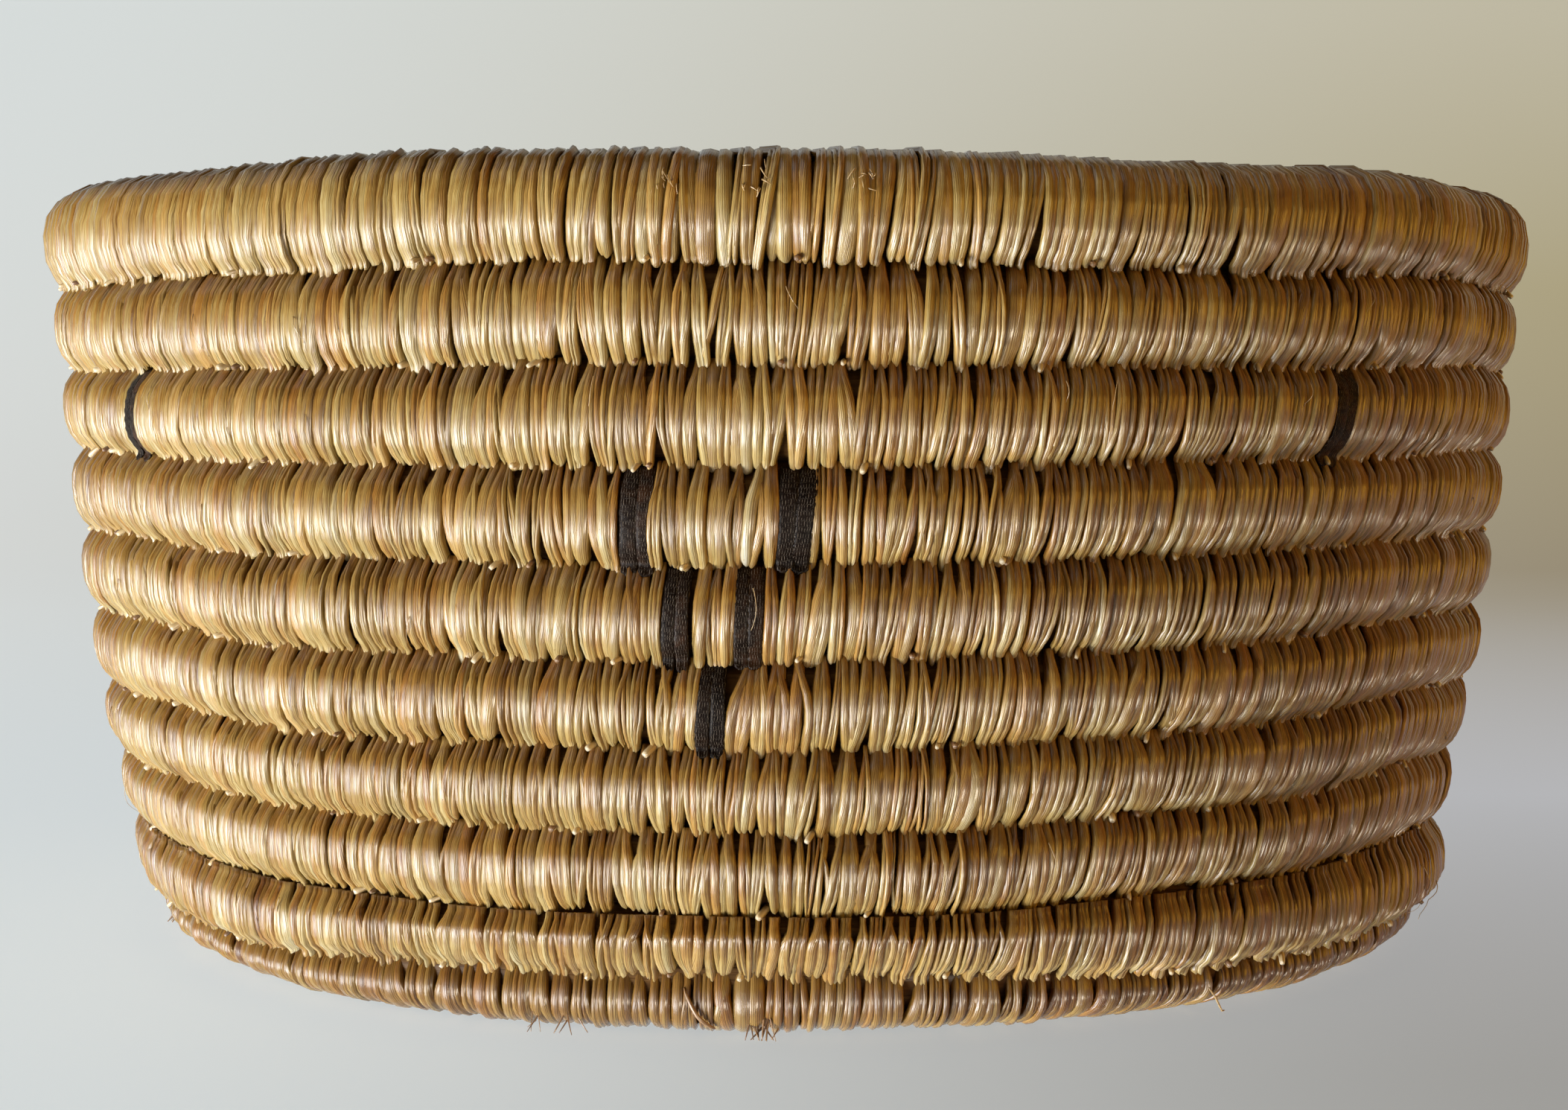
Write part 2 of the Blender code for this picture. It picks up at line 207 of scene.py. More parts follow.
rim_middle = np.interp(TURNS - 0.5, path_turn, path_length) - wall_start
flat_radius = RIM_RADIUS - wall_offset(rim_middle)[0] - CORNER_RADIUS * math.sin(arc_angle)
base_scale = (flat_radius - START_RADIUS) / corner_start
arc_done = np.clip((path_length - corner_start) / CORNER_RADIUS, 0.0, arc_angle)
run, rise = wall_offset(np.maximum(path_length - wall_start, 0.0))
path_radius = START_RADIUS + np.minimum(path_length, corner_start) * base_scale
path_radius += CORNER_RADIUS * np.sin(arc_done) + run
path_height = 0.5 * COIL_DEPTH + CORNER_RADIUS * (1.0 - np.cos(arc_done)) + rise
half_turn = STEPS_A_TURN // 2
padded_radius, padded_height = (np.pad(row, half_turn, mode="edge") for row in (path_radius, path_height))
path_slope = np.arctan2(
    padded_height[2 * half_turn:] - padded_height[:-2 * half_turn],
    padded_radius[2 * half_turn:] - padded_radius[:-2 * half_turn],
)
print("coil at the front, from the rim down, radius and height in mm:")
for course in range(1, BASE_ROUNDS + 1):
    at = TURNS - course + 0.5
    print(course, *(round(1000 * np.interp(at, path_turn, row), 1) for row in (path_radius, path_height)))


# %% Section of the coil
def climb(turn):
    """Place on the path for a turn round the axis: level at the front, climbing at the back."""
    return turn + np.sin(FULL_TURN * turn) / FULL_TURN


def section(turn):
    """Lower edge, upper edge and half depth of the stitched coil at each turn. The rim is deeper and
    higher, and the coil tapers to its tip."""
    on_path = climb(turn)
    pitch = pitch_at(on_path)
    from_corner = (on_path - corner_turn) / THINNING_TURNS
    half = 0.5 * pitch - 0.5 * CORNER_THINNING * np.maximum(1.0 - from_corner * from_corner, 0.0)
    rim = soft((turn - (TURNS - 1)) / CROWN_TURNS)
    tip = soft(1.0 - (TURNS - turn) * FULL_TURN * RIM_RADIUS / TIP_LENGTH)
    lower = -half
    upper = half + RIM_CROWN * rim
    upper = upper + (lower + TIP_HEIGHT - upper) * tip
    depth = COIL_DEPTH * np.minimum(pitch / FOOT_PITCH, 1.0)
    depth = depth + (RIM_DEPTH - depth) * rim
    depth = depth + (TIP_DEPTH - depth) * tip
    return lower, upper, 0.5 * depth


heights = [round(-2000.0 * section(turn)[0], 1) for turn in (BASE_ROUNDS + 0.5, TURNS - 0.5)]
print("height of the coil at the foot and at the rim:", *heights, "mm")

# %% [markdown]
# ## A wall made by hand
# The courses of the photographed basket aren't even circles: they sag and rise by a millimetre or so, and
# the foot is wider across than from front to back. Each strand could be moved for itself. It is simpler to
# bend the space around the basket, so that all pieces follow the same slow waves and listed shifts.

# %% Uneven shifts
# Waves round the basket: size in metres, waves in a turn, phase, and how fast they drift with the level.
OUT_WAVES = [(0.0008, 1, 0.0, 0.0), (0.00020, 3, 1.1, 1.7), (0.00015, 7, 0.0, 2.6)]
UP_WAVES = [(0.00035, 2, 0.6, 0.8), (0.00028, 5, 2.0, 1.9), (0.00018, 11, 0.4, 3.1)]
LEVEL_HEIGHT = 0.030
WALL_INSET = 0.0010
# How far up the courses sit off an even coil, in mm: a row for each height, a number for each angle.
UP_ANGLES = np.radians([-90.0, -55.0, -40.0, -20.0, 0.0, 20.0, 39.0, 55.0, 90.0])
UP_HEIGHTS = np.array([0.000, 0.022, 0.047, 0.071, 0.097, 0.114])
UP_SHIFTS = np.array([
    [0.0, 0.9, 0.6, 0.2, 0.3, 0.9, 0.7, 1.2, 0.0],
    [0.0, 1.4, 0.1, 0.3, 0.5, 1.2, 0.7, 1.7, 0.0],
    [0.0, 0.5, -0.7, -0.3, 0.3, 0.15, 0.1, 1.6, 0.0],
    [0.0, 1.0, 0.2, 0.7, 0.0, 0.9, 0.8, 1.5, 0.0],
    [0.0, -0.5, 0.1, 0.5, 0.5, 0.4, 0.9, 0.5, 0.0],
    [0.0, 0.0, 0.0, 0.0, 0.0, 0.0, 0.0, 0.0, 0.0],
])
# How far out the foot is pressed at each angle, in mm.
FOOT_ANGLES = np.radians([-180.0, -90.0, -60.0, -35.0, -15.0, 0.0, 20.0, 35.0, 48.0, 70.0, 90.0, 180.0])
FOOT_SHIFTS = np.array([0.0, 0.3, 0.7, 1.4, -0.1, -0.9, -0.3, 2.1, 3.5, 3.8, 3.5, 0.0])
RIGHT_RISE = 0.0011
FRONT_RISE = 0.0024


def wave_sum(table, angle, level):
    """The sum of size * sin(waves * angle + phase + drift * level) over the table."""
    return sum(size * np.sin(waves * angle + phase + drift * level) for size, waves, phase, drift in table)


def hand_made(angle, height, radius):
    """Outward and upward shifts in metres. The shifts of the tables are blended evenly between their
    heights and angles, the right side sits higher, and the lowest course is pressed up at the front."""
    level = height / LEVEL_HEIGHT
    facing = (angle + math.pi) % FULL_TURN - math.pi
    low = soft(1.0 - (height - 0.004) / 0.014) * soft(radius / 0.100)
    out = (wave_sum(OUT_WAVES, angle, level) - WALL_INSET) * soft(height / 0.012)
    out = out + 0.001 * low * np.interp(facing, FOOT_ANGLES, FOOT_SHIFTS)
    up = wave_sum(UP_WAVES, angle, level)
    row = np.interp(height, UP_HEIGHTS, np.arange(len(UP_HEIGHTS)))
    for number, shifts in enumerate(0.001 * UP_SHIFTS):
        up = up + np.maximum(1.0 - np.abs(row - number), 0.0) * np.interp(facing, UP_ANGLES, shifts)
    right = soft((np.sin(angle) - 0.25) / 0.60) * soft(height / 0.040) * soft((0.125 - height) / 0.045)
    up = (up + RIGHT_RISE * right) * soft(height / 0.020)
    pressed = soft(1.45 - np.abs(facing + 0.14) / 0.49) * soft((radius - 0.092) / 0.008)
    return out, up + FRONT_RISE * pressed * soft(1.0 - np.abs(height - 0.0085) / 0.0095)


print("hand-set shifts, at most:", UP_SHIFTS.max(), "mm up and", FOOT_SHIFTS.max(), "mm out at the foot")

# %% From the coil's terms to metres
def round_axis(angle, radius, height):
    """Points in metres from an angle from the front, a radius and a height, with the hand-made shifts."""
    out, up = hand_made(angle, height, radius)
    radius, height = radius + out, np.maximum(height + up, 0.00005)
    return np.stack([radius * np.sin(angle), -radius * np.cos(angle), height], axis=-1)


def coil_to_space(turn, along, outward):
    """Points in metres. along runs up the wall from the coil's middle and outward out of the wall."""
    turn, along, outward = np.broadcast_arrays(turn, along, outward)
    rows = (path_radius, path_height, path_slope)
    radius, height, slope = (np.interp(climb(turn), path_turn, row) for row in rows)
    radius = radius + along * np.cos(slope) + outward * np.sin(slope)
    height = height + along * np.sin(slope) - outward * np.cos(slope)
    lift = np.maximum(1.0 - (radius / LIFT_RADIUS) ** 2, 0.0)
    return round_axis(SEAM_ANGLE - FULL_TURN * (turn - TURNS), radius, height + BASE_LIFT * lift * lift)


def metres_a_turn(turn):
    """Length round the basket of one turn of the coil."""
    return FULL_TURN * np.interp(climb(turn), path_turn, path_radius)


def on_coil(turn, shift, along, outward):
    """Points from a turn and offsets in metres: along the coil, up and out."""
    return coil_to_space(turn + shift / metres_a_turn(turn), along, outward)


def turn_at(course, angle):
    """The turn at which a course, counted from the rim, passes an angle from the front."""
    return TURNS - (course - 1) - ((angle - SEAM_ANGLE) % FULL_TURN) / FULL_TURN


print("front of the rim course in mm:", np.round(1000 * coil_to_space(turn_at(1, 0.0), 0.0, 0.0), 1).tolist())

# %% [markdown]
# ## One strand
# A stitch is a flat bundle of dried grass, about 2 mm wide and under a millimetre thick. It comes out of the
# groove above as a narrow point, lies broad over the coil and ends in a rounded toe that presses into the
# turn below. Each one could be modelled by hand and copied, but on the real basket no two are alike. So a
# strand is a closed tube with a low crown, swept along the outline of the coil, and every strand draws its
# own width, lean, height and toe. All strands of a course are worked out together as one array.

# %% Outline of the coil under the strands
UPPER_NOTCH, UPPER_POWER = 0.0022, 2.3
LOWER_NOTCH, LOWER_POWER = 0.0023, 3.0
TOP_SINK = 0.0006
TOP_SINK_START = 0.52
FULL_NOTCH_HALF = 0.0060
RIM_SQUARENESS = 2.0 / 2.3
CORNER_COURSE_TURN = 9.55
CORNER_WIDTH_TURNS = 0.85
CORNER_TOP_SQUARENESS = 0.55
WRAP_FROM = math.radians(122.0)
WRAP_TO = math.radians(-108.0)


def side_level(level, depth, half):
    """How far out the strands lie at a height level of -1 (lower groove) to 1 (upper groove):
    depth - notch * |level| ** power, sunk near the top where the toes of the turn above press in."""
    small = np.minimum(half / FULL_NOTCH_HALF, 1.0)
    notch = np.where(level < 0.0, LOWER_NOTCH, UPPER_NOTCH) * small
    power = np.where(level < 0.0, LOWER_POWER, UPPER_POWER)
    sink = TOP_SINK * small * soft((level - TOP_SINK_START) / (1.0 - TOP_SINK_START))
    return depth - notch * np.minimum(np.abs(level), 1.0) ** power - sink


def middle_section(turn):
    """The section as its middle, half height and half depth."""
    lower, upper, depth = section(turn)
    return 0.5 * (lower + upper), 0.5 * (upper - lower), depth


def inner_outline(share, turn, start, toe):
    """Along and outward from the groove above (share 0) to the toe (share 1) on the inside."""
    lower, upper, _ = section(turn)
    middle, half, depth = middle_section(turn)
    along = upper + start + (lower - toe - upper - start) * share
    return along, side_level((along - middle) / half, depth, half)


def side_outline(share, turn, start, toe):
    """The same on the outside. At the corner of base and wall the grooves lie further in, so there the
    strands follow a superellipse round the coil's outer half."""
    along, outward = inner_outline(share, turn, start, toe)
    middle, half, depth = middle_section(turn)
    swing = WRAP_FROM + (WRAP_TO - WRAP_FROM) * share
    square = np.where(np.sin(swing) > 0.0, CORNER_TOP_SQUARENESS, RIM_SQUARENESS)
    round_along = middle + half * signed_power(np.sin(swing), RIM_SQUARENESS)
    round_out = depth * signed_power(np.cos(swing), square)
    corner = soft(1.6 - 1.6 * np.abs(turn - CORNER_COURSE_TURN) / CORNER_WIDTH_TURNS)
    return along + (round_along - along) * corner, outward + (round_out - outward) * corner


def rim_outline(share, turn, start, toe):
    """Over the rim, from the inner toe (share 0) over the top (0.5) to the outer toe (1): the upper half is
    a superellipse and the lower half of each side follows the outline of a side."""
    middle, half, depth = middle_section(turn)
    swing = 1.5 * math.pi * (share - 0.5)
    across, up = np.sin(swing), np.maximum(np.cos(swing), 0.0)
    over = np.abs(swing) < QUARTER_TURN
    below = np.maximum(np.abs(swing) - QUARTER_TURN, 0.0) / (0.25 * math.pi)
    reach = half + np.where(across > 0.0, toe, start)
    along = middle + np.where(over, half * up ** RIM_SQUARENESS, -reach * below)
    sides = side_level(np.minimum((along - middle) / half, 0.0), depth, half)
    return along, np.sign(across) * np.where(over, depth * np.abs(across) ** RIM_SQUARENESS, sides)


def raised(along, outward, rise):
    """Places off an outline, square to it, and the length of the outline up to each of them."""
    step_along, step_out = np.gradient(along, axis=1), np.gradient(outward, axis=1)
    step = np.maximum(np.hypot(step_along, step_out), 1e-7)
    return along + rise * step_out / step, outward - rise * step_along / step, np.cumsum(step, axis=1)


print("a wall strand's ends lie", round(1000 * (UPPER_NOTCH + TOP_SINK), 1), "mm in at the top and",
      round(1000 * LOWER_NOTCH, 1), "mm at the toe")

# %% Strand builder
STRAND_ACROSS = np.array([-1.0, -0.62, 0.0, 0.62, 1.0, 0.0])
STRAND_CROWN = np.array([0.0, 0.74, 1.0, 0.74, 0.0, -0.35])
TIP_DIP = 0.00020
TOE_REACH = 0.062
RIM_TOE_REACH = 0.030
TOE_POWER = 2.6
TOE_LOSS = 0.93
BELLY_START = 0.34
NARROWING = 0.08
# Places of a strand's rings along it, as shares of its length.
OUTSIDE_RINGS = np.array([0.0, 0.06, 0.13, 0.22, 0.34, 0.48, 0.63, 0.78, 0.90, 0.952, 0.984, 1.0])
INSIDE_RINGS = np.array([0.0, 0.14, 0.36, 0.62, 0.84, 0.95, 1.0])
UNDER_RINGS = np.array([0.0, 0.10, 0.30, 0.55, 0.78, 0.92, 0.975, 1.0])
FOOT_RINGS = np.array([0.0, 0.04, 0.08, 0.13, 0.18, 0.24, 0.30, 0.37, 0.44, 0.51, 0.58, 0.65, 0.72, 0.79,
                       0.86, 0.92, 0.965, 0.99, 1.0])
half_rim_rings = np.array([0.0, 0.007, 0.020, 0.050, 0.11, 0.19, 0.28, 0.37, 0.46])
RIM_RINGS = np.concatenate([half_rim_rings, 1.0 - half_rim_rings[::-1]])


def sweep_faces(strands, rings, corners):
    """Quads of closed tubes: rings joined round, and both ends closed by a fan of quads."""
    ring = np.arange(rings - 1)[:, None] * corners
    corner = np.arange(corners)[None]
    after = (corner + 1) % corners
    tube = np.stack([ring + corner, ring + after, ring + corners + after, ring + corners + corner], -1)
    fan = np.arange(1, corners - 2, 2)
    first = np.stack([0 * fan, fan + 2, fan + 1, fan], -1)
    last = first[:, ::-1] + (rings - 1) * corners
    faces = np.concatenate([tube.reshape(-1, 4), first, last])
    return (faces[None] + np.arange(strands)[:, None, None] * rings * corners).reshape(-1, 4)


def strand_width(share, top, both_toes):
    """Width as a share of the widest: fuller over the belly than at the top, with a rounded toe."""
    reach = RIM_TOE_REACH if both_toes else TOE_REACH
    start = np.clip(1.0 - share / reach, 0.0, 1.0) if both_toes else 0.0 * share
    toe = np.clip((share - 1.0 + reach) / reach, 0.0, 1.0)
    belly = top + (1.0 - top) * soft(share / BELLY_START)
    narrow = 1.0 - NARROWING * soft((share - 0.72) / 0.22)
    ends = (1.0 - TOE_LOSS * toe ** TOE_POWER) * (1.0 - TOE_LOSS * start ** TOE_POWER)
    return belly * narrow * np.sqrt(ends)


def build_strands(draws, shares, side=1.0, over_rim=False):
    """The mesh of many strands. draws holds one number for each strand by name; side is -1 on the inside."""
    draw = {key: value[:, None, None] for key, value in draws.items()}
    share = shares[None, :, None]
    outline = rim_outline if over_rim else side_outline if side > 0.0 else inner_outline
    along, outward = outline(share, draw["turn"], draw["start"], draw["toe"])
    near_top, near_toe = soft(1.0 - share / 0.45), soft((share - 0.55) / 0.45)
    shift = draw["top_shift"] * near_top + draw["toe_shift"] * near_toe
    shift = shift + draw["belly_shift"] * (1.0 - near_top - near_toe)
    lean_sign = np.sign(outward) if over_rim else 1.0
    shift = shift + draw["lean"] * (along - middle_section(draw["turn"])[0]) * lean_sign
    shift = shift + draw["bow"] * (1.0 - (2.0 * share - 1.0) ** 2)
    width = draw["width"] * strand_width(share, draw["top_width"], over_rim)
    thin = np.sqrt(np.clip(width / draw["width"], 0.0, 1.0))
    tip = np.clip((share - 0.93) / 0.07, 0.0, 1.0) + over_rim * np.clip(1.0 - share / 0.05, 0.0, 1.0)
    rise = draw["lift"] - TIP_DIP * tip + draw["roll"] * STRAND_ACROSS * thin
    along, outward, length = raised(along, outward, rise + draw["thick"] * thin * (STRAND_CROWN - 1.0))
    points = on_coil(draw["turn"], shift + 0.5 * width * STRAND_ACROSS, along, side * outward)
    uv_across = draw["fineness"] * (0.5 * draw["width"] * STRAND_ACROSS + draw["twist"] * length)
    uv = 1000.0 * together(uv_across + draw["seed"], length + 3.0 * draw["seed"]).reshape(-1, 2)
    faces = sweep_faces(len(draws["turn"]), len(shares), len(STRAND_ACROSS))
    # down runs from a strand's top to its toe; the straw paints shade at the top and light towards the toe
    # from it.
    down = np.abs(2.0 * share - 1.0) if over_rim else share
    values = {key: np.broadcast_to(value, points.shape[:3]).reshape(-1)
              for key, value in (("tone", draw["tone"]), ("down", down))}
    return points.reshape(-1, 3), faces[:, ::-1] if side < 0.0 else faces, uv, values


print("rings of a strand: outside", len(OUTSIDE_RINGS), "inside", len(INSIDE_RINGS), "rim", len(RIM_RINGS))

# %% [markdown]
# ## The pattern
# A few stitches are dark strips instead of straw: one at the foot of each V, two and two above it and a
# single bar in the next course between two Vs. They were stitched in as the coil grew, in place of straw,
# so the straw leaves room for them.

# %% Places of the dark strips
STRIP_WIDTH = 0.0042
UPPER_ARM_REACH, LOWER_ARM_REACH = 0.0098, 0.0046
BAR_COURSE = 3
SIDES = ("front", "right", "back", "left")
CORNERS = ("front_right", "back_right", "back_left", "front_left")
STRIP_PLACES = (
    ("upper_left", 4, -UPPER_ARM_REACH), ("upper_right", 4, UPPER_ARM_REACH),
    ("lower_left", 5, -LOWER_ARM_REACH), ("lower_right", 5, LOWER_ARM_REACH), ("point", 6, 0.0),
)
strips = {}
for index, name in enumerate(SIDES):
    for part, course, reach in STRIP_PLACES:
        turn = turn_at(course, MOTIF_TURN + index * QUARTER_TURN)
        strips[f"dark_{name}_{part}"] = (course, float(turn - reach / metres_a_turn(turn)))
for index, name in enumerate(CORNERS):
    turn = turn_at(BAR_COURSE, MOTIF_TURN + BAR_TURN + (index + 0.5) * QUARTER_TURN)
    strips[f"dark_{name}_bar"] = (BAR_COURSE, float(turn))
print(len(strips), "dark strips")

# %% Draws for the stitches of a course
STITCH_SPACING = 0.00192
STRIP_ROOM = 0.44 * STRIP_WIDTH
BROAD_STITCH = 0.0026
DRAWN_LEAN = -0.050
SIDE_LEAN = -0.20
THIRD_STRAND = 0.55
CROSSING_SHARE = 0.28
SINGLE_WIDTH, SHARED_WIDTH = 1.34, 1.70
length_turn = np.linspace(0.0, TURNS, TURNS * STEPS_A_TURN + 1)
length_step = metres_a_turn(length_turn) / STEPS_A_TURN
length_at = np.concatenate([[0.0], np.cumsum(0.5 * (length_step[1:] + length_step[:-1]))])
print("length of the coil:", round(length_at[-1], 2), "m")


def lay_widths(random, start, end, spacing):
    """Middles and widths of stitches that fill a stretch of the coil, side by side."""
    count = max(int(round((end - start) / spacing)), 1)
    widths = np.clip(random.lognormal(0.0, 0.20, count), 0.62, 1.55)
    widths *= (end - start) / widths.sum()
    return start + np.cumsum(widths) - 0.5 * widths, widths


def draw_stitches(random, first, last, spacing, splits, strip_turns=()):
    """Draws for stitches between two turns, leaving room for the strips. Each stitch splits into one to
    three strands that spread over the belly and meet at the toe. Stitches lean more at the sides."""
    start, end = np.interp([first, last], length_turn, length_at)
    room = np.interp(sorted(strip_turns), length_turn, length_at)
    starts, ends = np.concatenate([[start], room + STRIP_ROOM]), np.concatenate([room - STRIP_ROOM, [end]])
    laid = [lay_widths(random, low, high, spacing) for low, high in zip(starts, ends)]
    turn = np.interp(np.concatenate([middle for middle, _ in laid]), length_at, length_turn)
    widths = np.concatenate([width for _, width in laid])
    count = len(turn)
    pieces = 1 + (random.random(count) < splits) + (random.random(count) < THIRD_STRAND * splits)
    pieces = np.where(widths > BROAD_STITCH, np.maximum(pieces, 2), pieces)
    stitch = np.repeat(np.arange(count), pieces)
    place = np.arange(len(stitch)) - np.repeat(np.cumsum(pieces) - pieces, pieces)
    parts, wide, total = pieces[stitch], widths[stitch], len(stitch)
    single = parts == 1
    fullness = np.where(single, SINGLE_WIDTH, SHARED_WIDTH / parts)
    spread = ((place + 0.5) / parts - 0.5) * wide
    drawn = DRAWN_LEAN + SIDE_LEAN * np.sin(SEAM_ANGLE - FULL_TURN * (turn - TURNS)) ** 2
    lean = (drawn + 0.036 * random.standard_normal(count))[stitch] + 0.030 * random.standard_normal(total)
    crossing = np.where(random.random(total) < CROSSING_SHARE, -0.5, 1.0)

    def around_zero(size):
        """One offset for each strand, drawn round zero."""
        return random.normal(0.0, size, total)

    toe = random.normal(0.0008, 0.00034, count)[stitch] + around_zero(0.00012)
    tone = 0.5 + 0.13 * random.standard_normal(count)[stitch] + 0.12 * random.standard_normal(total)
    return {
        "turn": turn[stitch],
        "width": wide * fullness * random.uniform(0.84, 1.18, total),
        "top_width": random.uniform(0.60, 0.92, total),
        "top_shift": 0.75 * spread * crossing + around_zero(0.00012),
        "belly_shift": 0.94 * spread + around_zero(0.00008),
        "toe_shift": 0.66 * spread + random.normal(0.0, 0.00020, count)[stitch],
        "lean": lean,
        "bow": around_zero(0.00012),
        "toe": np.clip(toe, 0.0, 0.0016),
        "start": np.full(total, 0.0004),
        "lift": around_zero(0.00015),
        "roll": random.normal(0.00010, 0.00020, total),
        "fineness": random.uniform(0.70, 1.25, total),
        "thick": random.uniform(0.00075, 0.00105, total) * np.where(single, 1.0, 0.9),
        "twist": around_zero(0.05),
        "seed": random.uniform(0.0, 0.9, total),
        "tone": np.clip(tone, 0.0, 1.0),
    }


# %% [markdown]
# ## Stitches of the wall
# Each course of the wall shows two rows of stitches: the strands that cover the outside, and those on the
# inside, whose upper ends pass through the turn above. Every course becomes one piece in place of its plain
# sleeve. The outside is split finer because it is seen from close by.

# %% Wall courses
WALL_SPLITS = 0.92
INSIDE_SPACING = 1.05 * STITCH_SPACING
courses = {}
for course in range(2, WALL_COURSES + 1):
    random = np.random.default_rng(100 + course)
    first, last = TURNS - course, TURNS - course + 1.0
    here = [turn for strip_course, turn in strips.values() if strip_course == course]
    draws = draw_stitches(random, first, last, STITCH_SPACING, WALL_SPLITS, here)
    outside = build_strands(draws, OUTSIDE_RINGS)
    draws = draw_stitches(random, first, last, INSIDE_SPACING, 0.0)
    courses[course] = join_parts([outside, build_strands(draws, INSIDE_RINGS, -1.0)])
print("faces in the third course:", len(courses[3][1]))

# %% [markdown]
# ## Stitches of the rim
# On the rim the strands go right over the top, from the groove inside to the groove outside. They are the
# same strands with other draws: fuller at the top, never very broad, and a little darker, as painted shade.

# %% Rim course
RIM_SPLITS = 0.80
RIM_BROADEST = 0.0032
random = np.random.default_rng(77)
rim_draws = draw_stitches(random, TURNS - 1.0, TURNS - 0.0008, STITCH_SPACING, RIM_SPLITS)
rim_count = len(rim_draws["turn"])
rim_draws["width"] = np.minimum(rim_draws["width"] * 1.07, RIM_BROADEST)
rim_draws["start"] = np.clip(random.normal(0.0004, 0.0003, rim_count), -0.0002, 0.0012)
rim_draws["top_width"] = random.uniform(0.80, 0.98, rim_count)
# Painted shade: the rim's strands get a darker tone, as less light falls on the rim.
rim_draws["tone"] *= 0.88
rim_draws["lift"] += np.abs(random.normal(0.0, 0.00012, rim_count))
courses[1] = build_strands(rim_draws, RIM_RINGS, over_rim=True)
print("faces in the rim:", len(courses[1][1]))

# %% [markdown]
# ## Stitches of the base
# The base is the same coil lying flat. Its strands are laid on the underside and, inside the basket, on top.
# Only the last round, which turns the corner, shows from the side, so it is split and rounded more finely.

# %% Base rounds
rounds = {}
for ring in range(1, BASE_ROUNDS + 1):
    random = np.random.default_rng(200 + ring)
    splits, shares = (0.70, FOOT_RINGS) if ring == BASE_ROUNDS else (0.10, UNDER_RINGS)
    draws = draw_stitches(random, ring - 1.0, float(ring), STITCH_SPACING, splits)
    # Painted shade: the base's strands get a darker tone than the wall's, for the shade at the foot and under
    # the basket.
    draws["tone"] *= 0.72
    under = build_strands(draws, shares)
    draws = draw_stitches(random, ring - 1.0, float(ring), STITCH_SPACING, 0.0)
    rounds[ring] = join_parts([under, build_strands(draws, INSIDE_RINGS, -1.0)])
print("faces in the last round:", len(rounds[BASE_ROUNDS][1]))

# %% [markdown]
# ## The bundle under the stitches
# Between two strands a glimpse of the bundle shows: stems that run along the coil. It could be a tube
# for every stem, but so little of it is seen that one long tube just under the strands will do, with its
# stems drawn by its material. Its colours are a dark brown with the shade of the gaps painted in.

# %% Grass bundle
BUNDLE_CORNERS = 14
BUNDLE_STEPS_A_TURN = 72
BUNDLE_INSET = 0.0015
BUNDLE_GIRTH = 0.028
BUNDLE_HEIGHT_POWER = 0.62
BUNDLE_DEPTH_POWER = 2.2
BUNDLE_OVERLAP = 0.0003
BUNDLE_RIM_SINK = 0.0018


def bundle_tube(first, last):
    """A closed tube along the coil. Each ring is a superellipse, height = half * |sin| ** power and
    depth = (half depth - inset) * |cos| ** power, so it is slim near the grooves. It lies lower in the rim,
    under the strands that go over the top."""
    steps = int(round((last - first) * BUNDLE_STEPS_A_TURN))
    turn = np.linspace(first, last, steps + 1)[:, None]
    middle, half, depth = middle_section(turn)
    corner = np.arange(BUNDLE_CORNERS)[None] * FULL_TURN / BUNDLE_CORNERS
    from_end = np.minimum(np.arange(steps + 1), steps - np.arange(steps + 1))[:, None]
    shrink = np.where(from_end == 0, 0.25, np.where(from_end == 1, 0.8, 1.0))
    top = (np.sin(corner) > 0.0) * soft((turn - (TURNS - 1)) / CROWN_TURNS)
    height = half + BUNDLE_OVERLAP - BUNDLE_RIM_SINK * top
    along = middle + height * shrink * signed_power(np.sin(corner), BUNDLE_HEIGHT_POWER)
    outward = (depth - BUNDLE_INSET) * shrink * signed_power(np.cos(corner), BUNDLE_DEPTH_POWER)
    points = coil_to_space(turn, along, outward).reshape(-1, 3)
    length = np.interp(turn, length_turn, length_at)
    uv = 1000.0 * together(BUNDLE_GIRTH * corner / FULL_TURN, length).reshape(-1, 2)
    values = {"tone": np.full(len(points), 0.5), "down": np.full(len(points), 0.5)}
    return points, sweep_faces(1, steps + 1, BUNDLE_CORNERS), uv, values


bundle = bundle_tube(0.08, TURNS - 0.006)
print("faces in the bundle:", len(bundle[1]))

# %% [markdown]
# ## Straw
# Dried grass looks like bundled threads: fine lines run along each strand, the waxy skin shines softly, and
# the colour shifts from pale cream over gold to brown, from strand to strand and along each of them. Light
# and shade are painted into that colour as well: each strand is painted darker at its top, paler towards its
# toe where the low light falls, and darker in the creases between its fibres. The lines could be painted, but
# a pattern that is stretched along the strand's own UV map gives thousands of different strands at once. The
# effect is a node group, so the strands, their ends and the bundle share it.

# %% Node helpers
FLOAT, COLOUR, VECTOR = "NodeSocketFloat", "NodeSocketColor", "NodeSocketVector"


def new_group(name, inputs, outputs):
    """A shader node group with named sockets; returns the group, its input node and its output node."""
    group = bpy.data.node_groups.new(name, "ShaderNodeTree")
    for socket, kind, value in inputs:
        made = group.interface.new_socket(socket, in_out="INPUT", socket_type=kind)
        if value is not None:
            made.default_value = value
    for socket, kind in outputs:
        group.interface.new_socket(socket, in_out="OUTPUT", socket_type=kind)
    return group, group.nodes.new("NodeGroupInput"), group.nodes.new("NodeGroupOutput")


def new_material(name):
    """A material, its node tree and its Principled shader."""
    made = bpy.data.materials.new(name)
    made.use_nodes = True
    return made, made.node_tree, made.node_tree.nodes["Principled BSDF"]


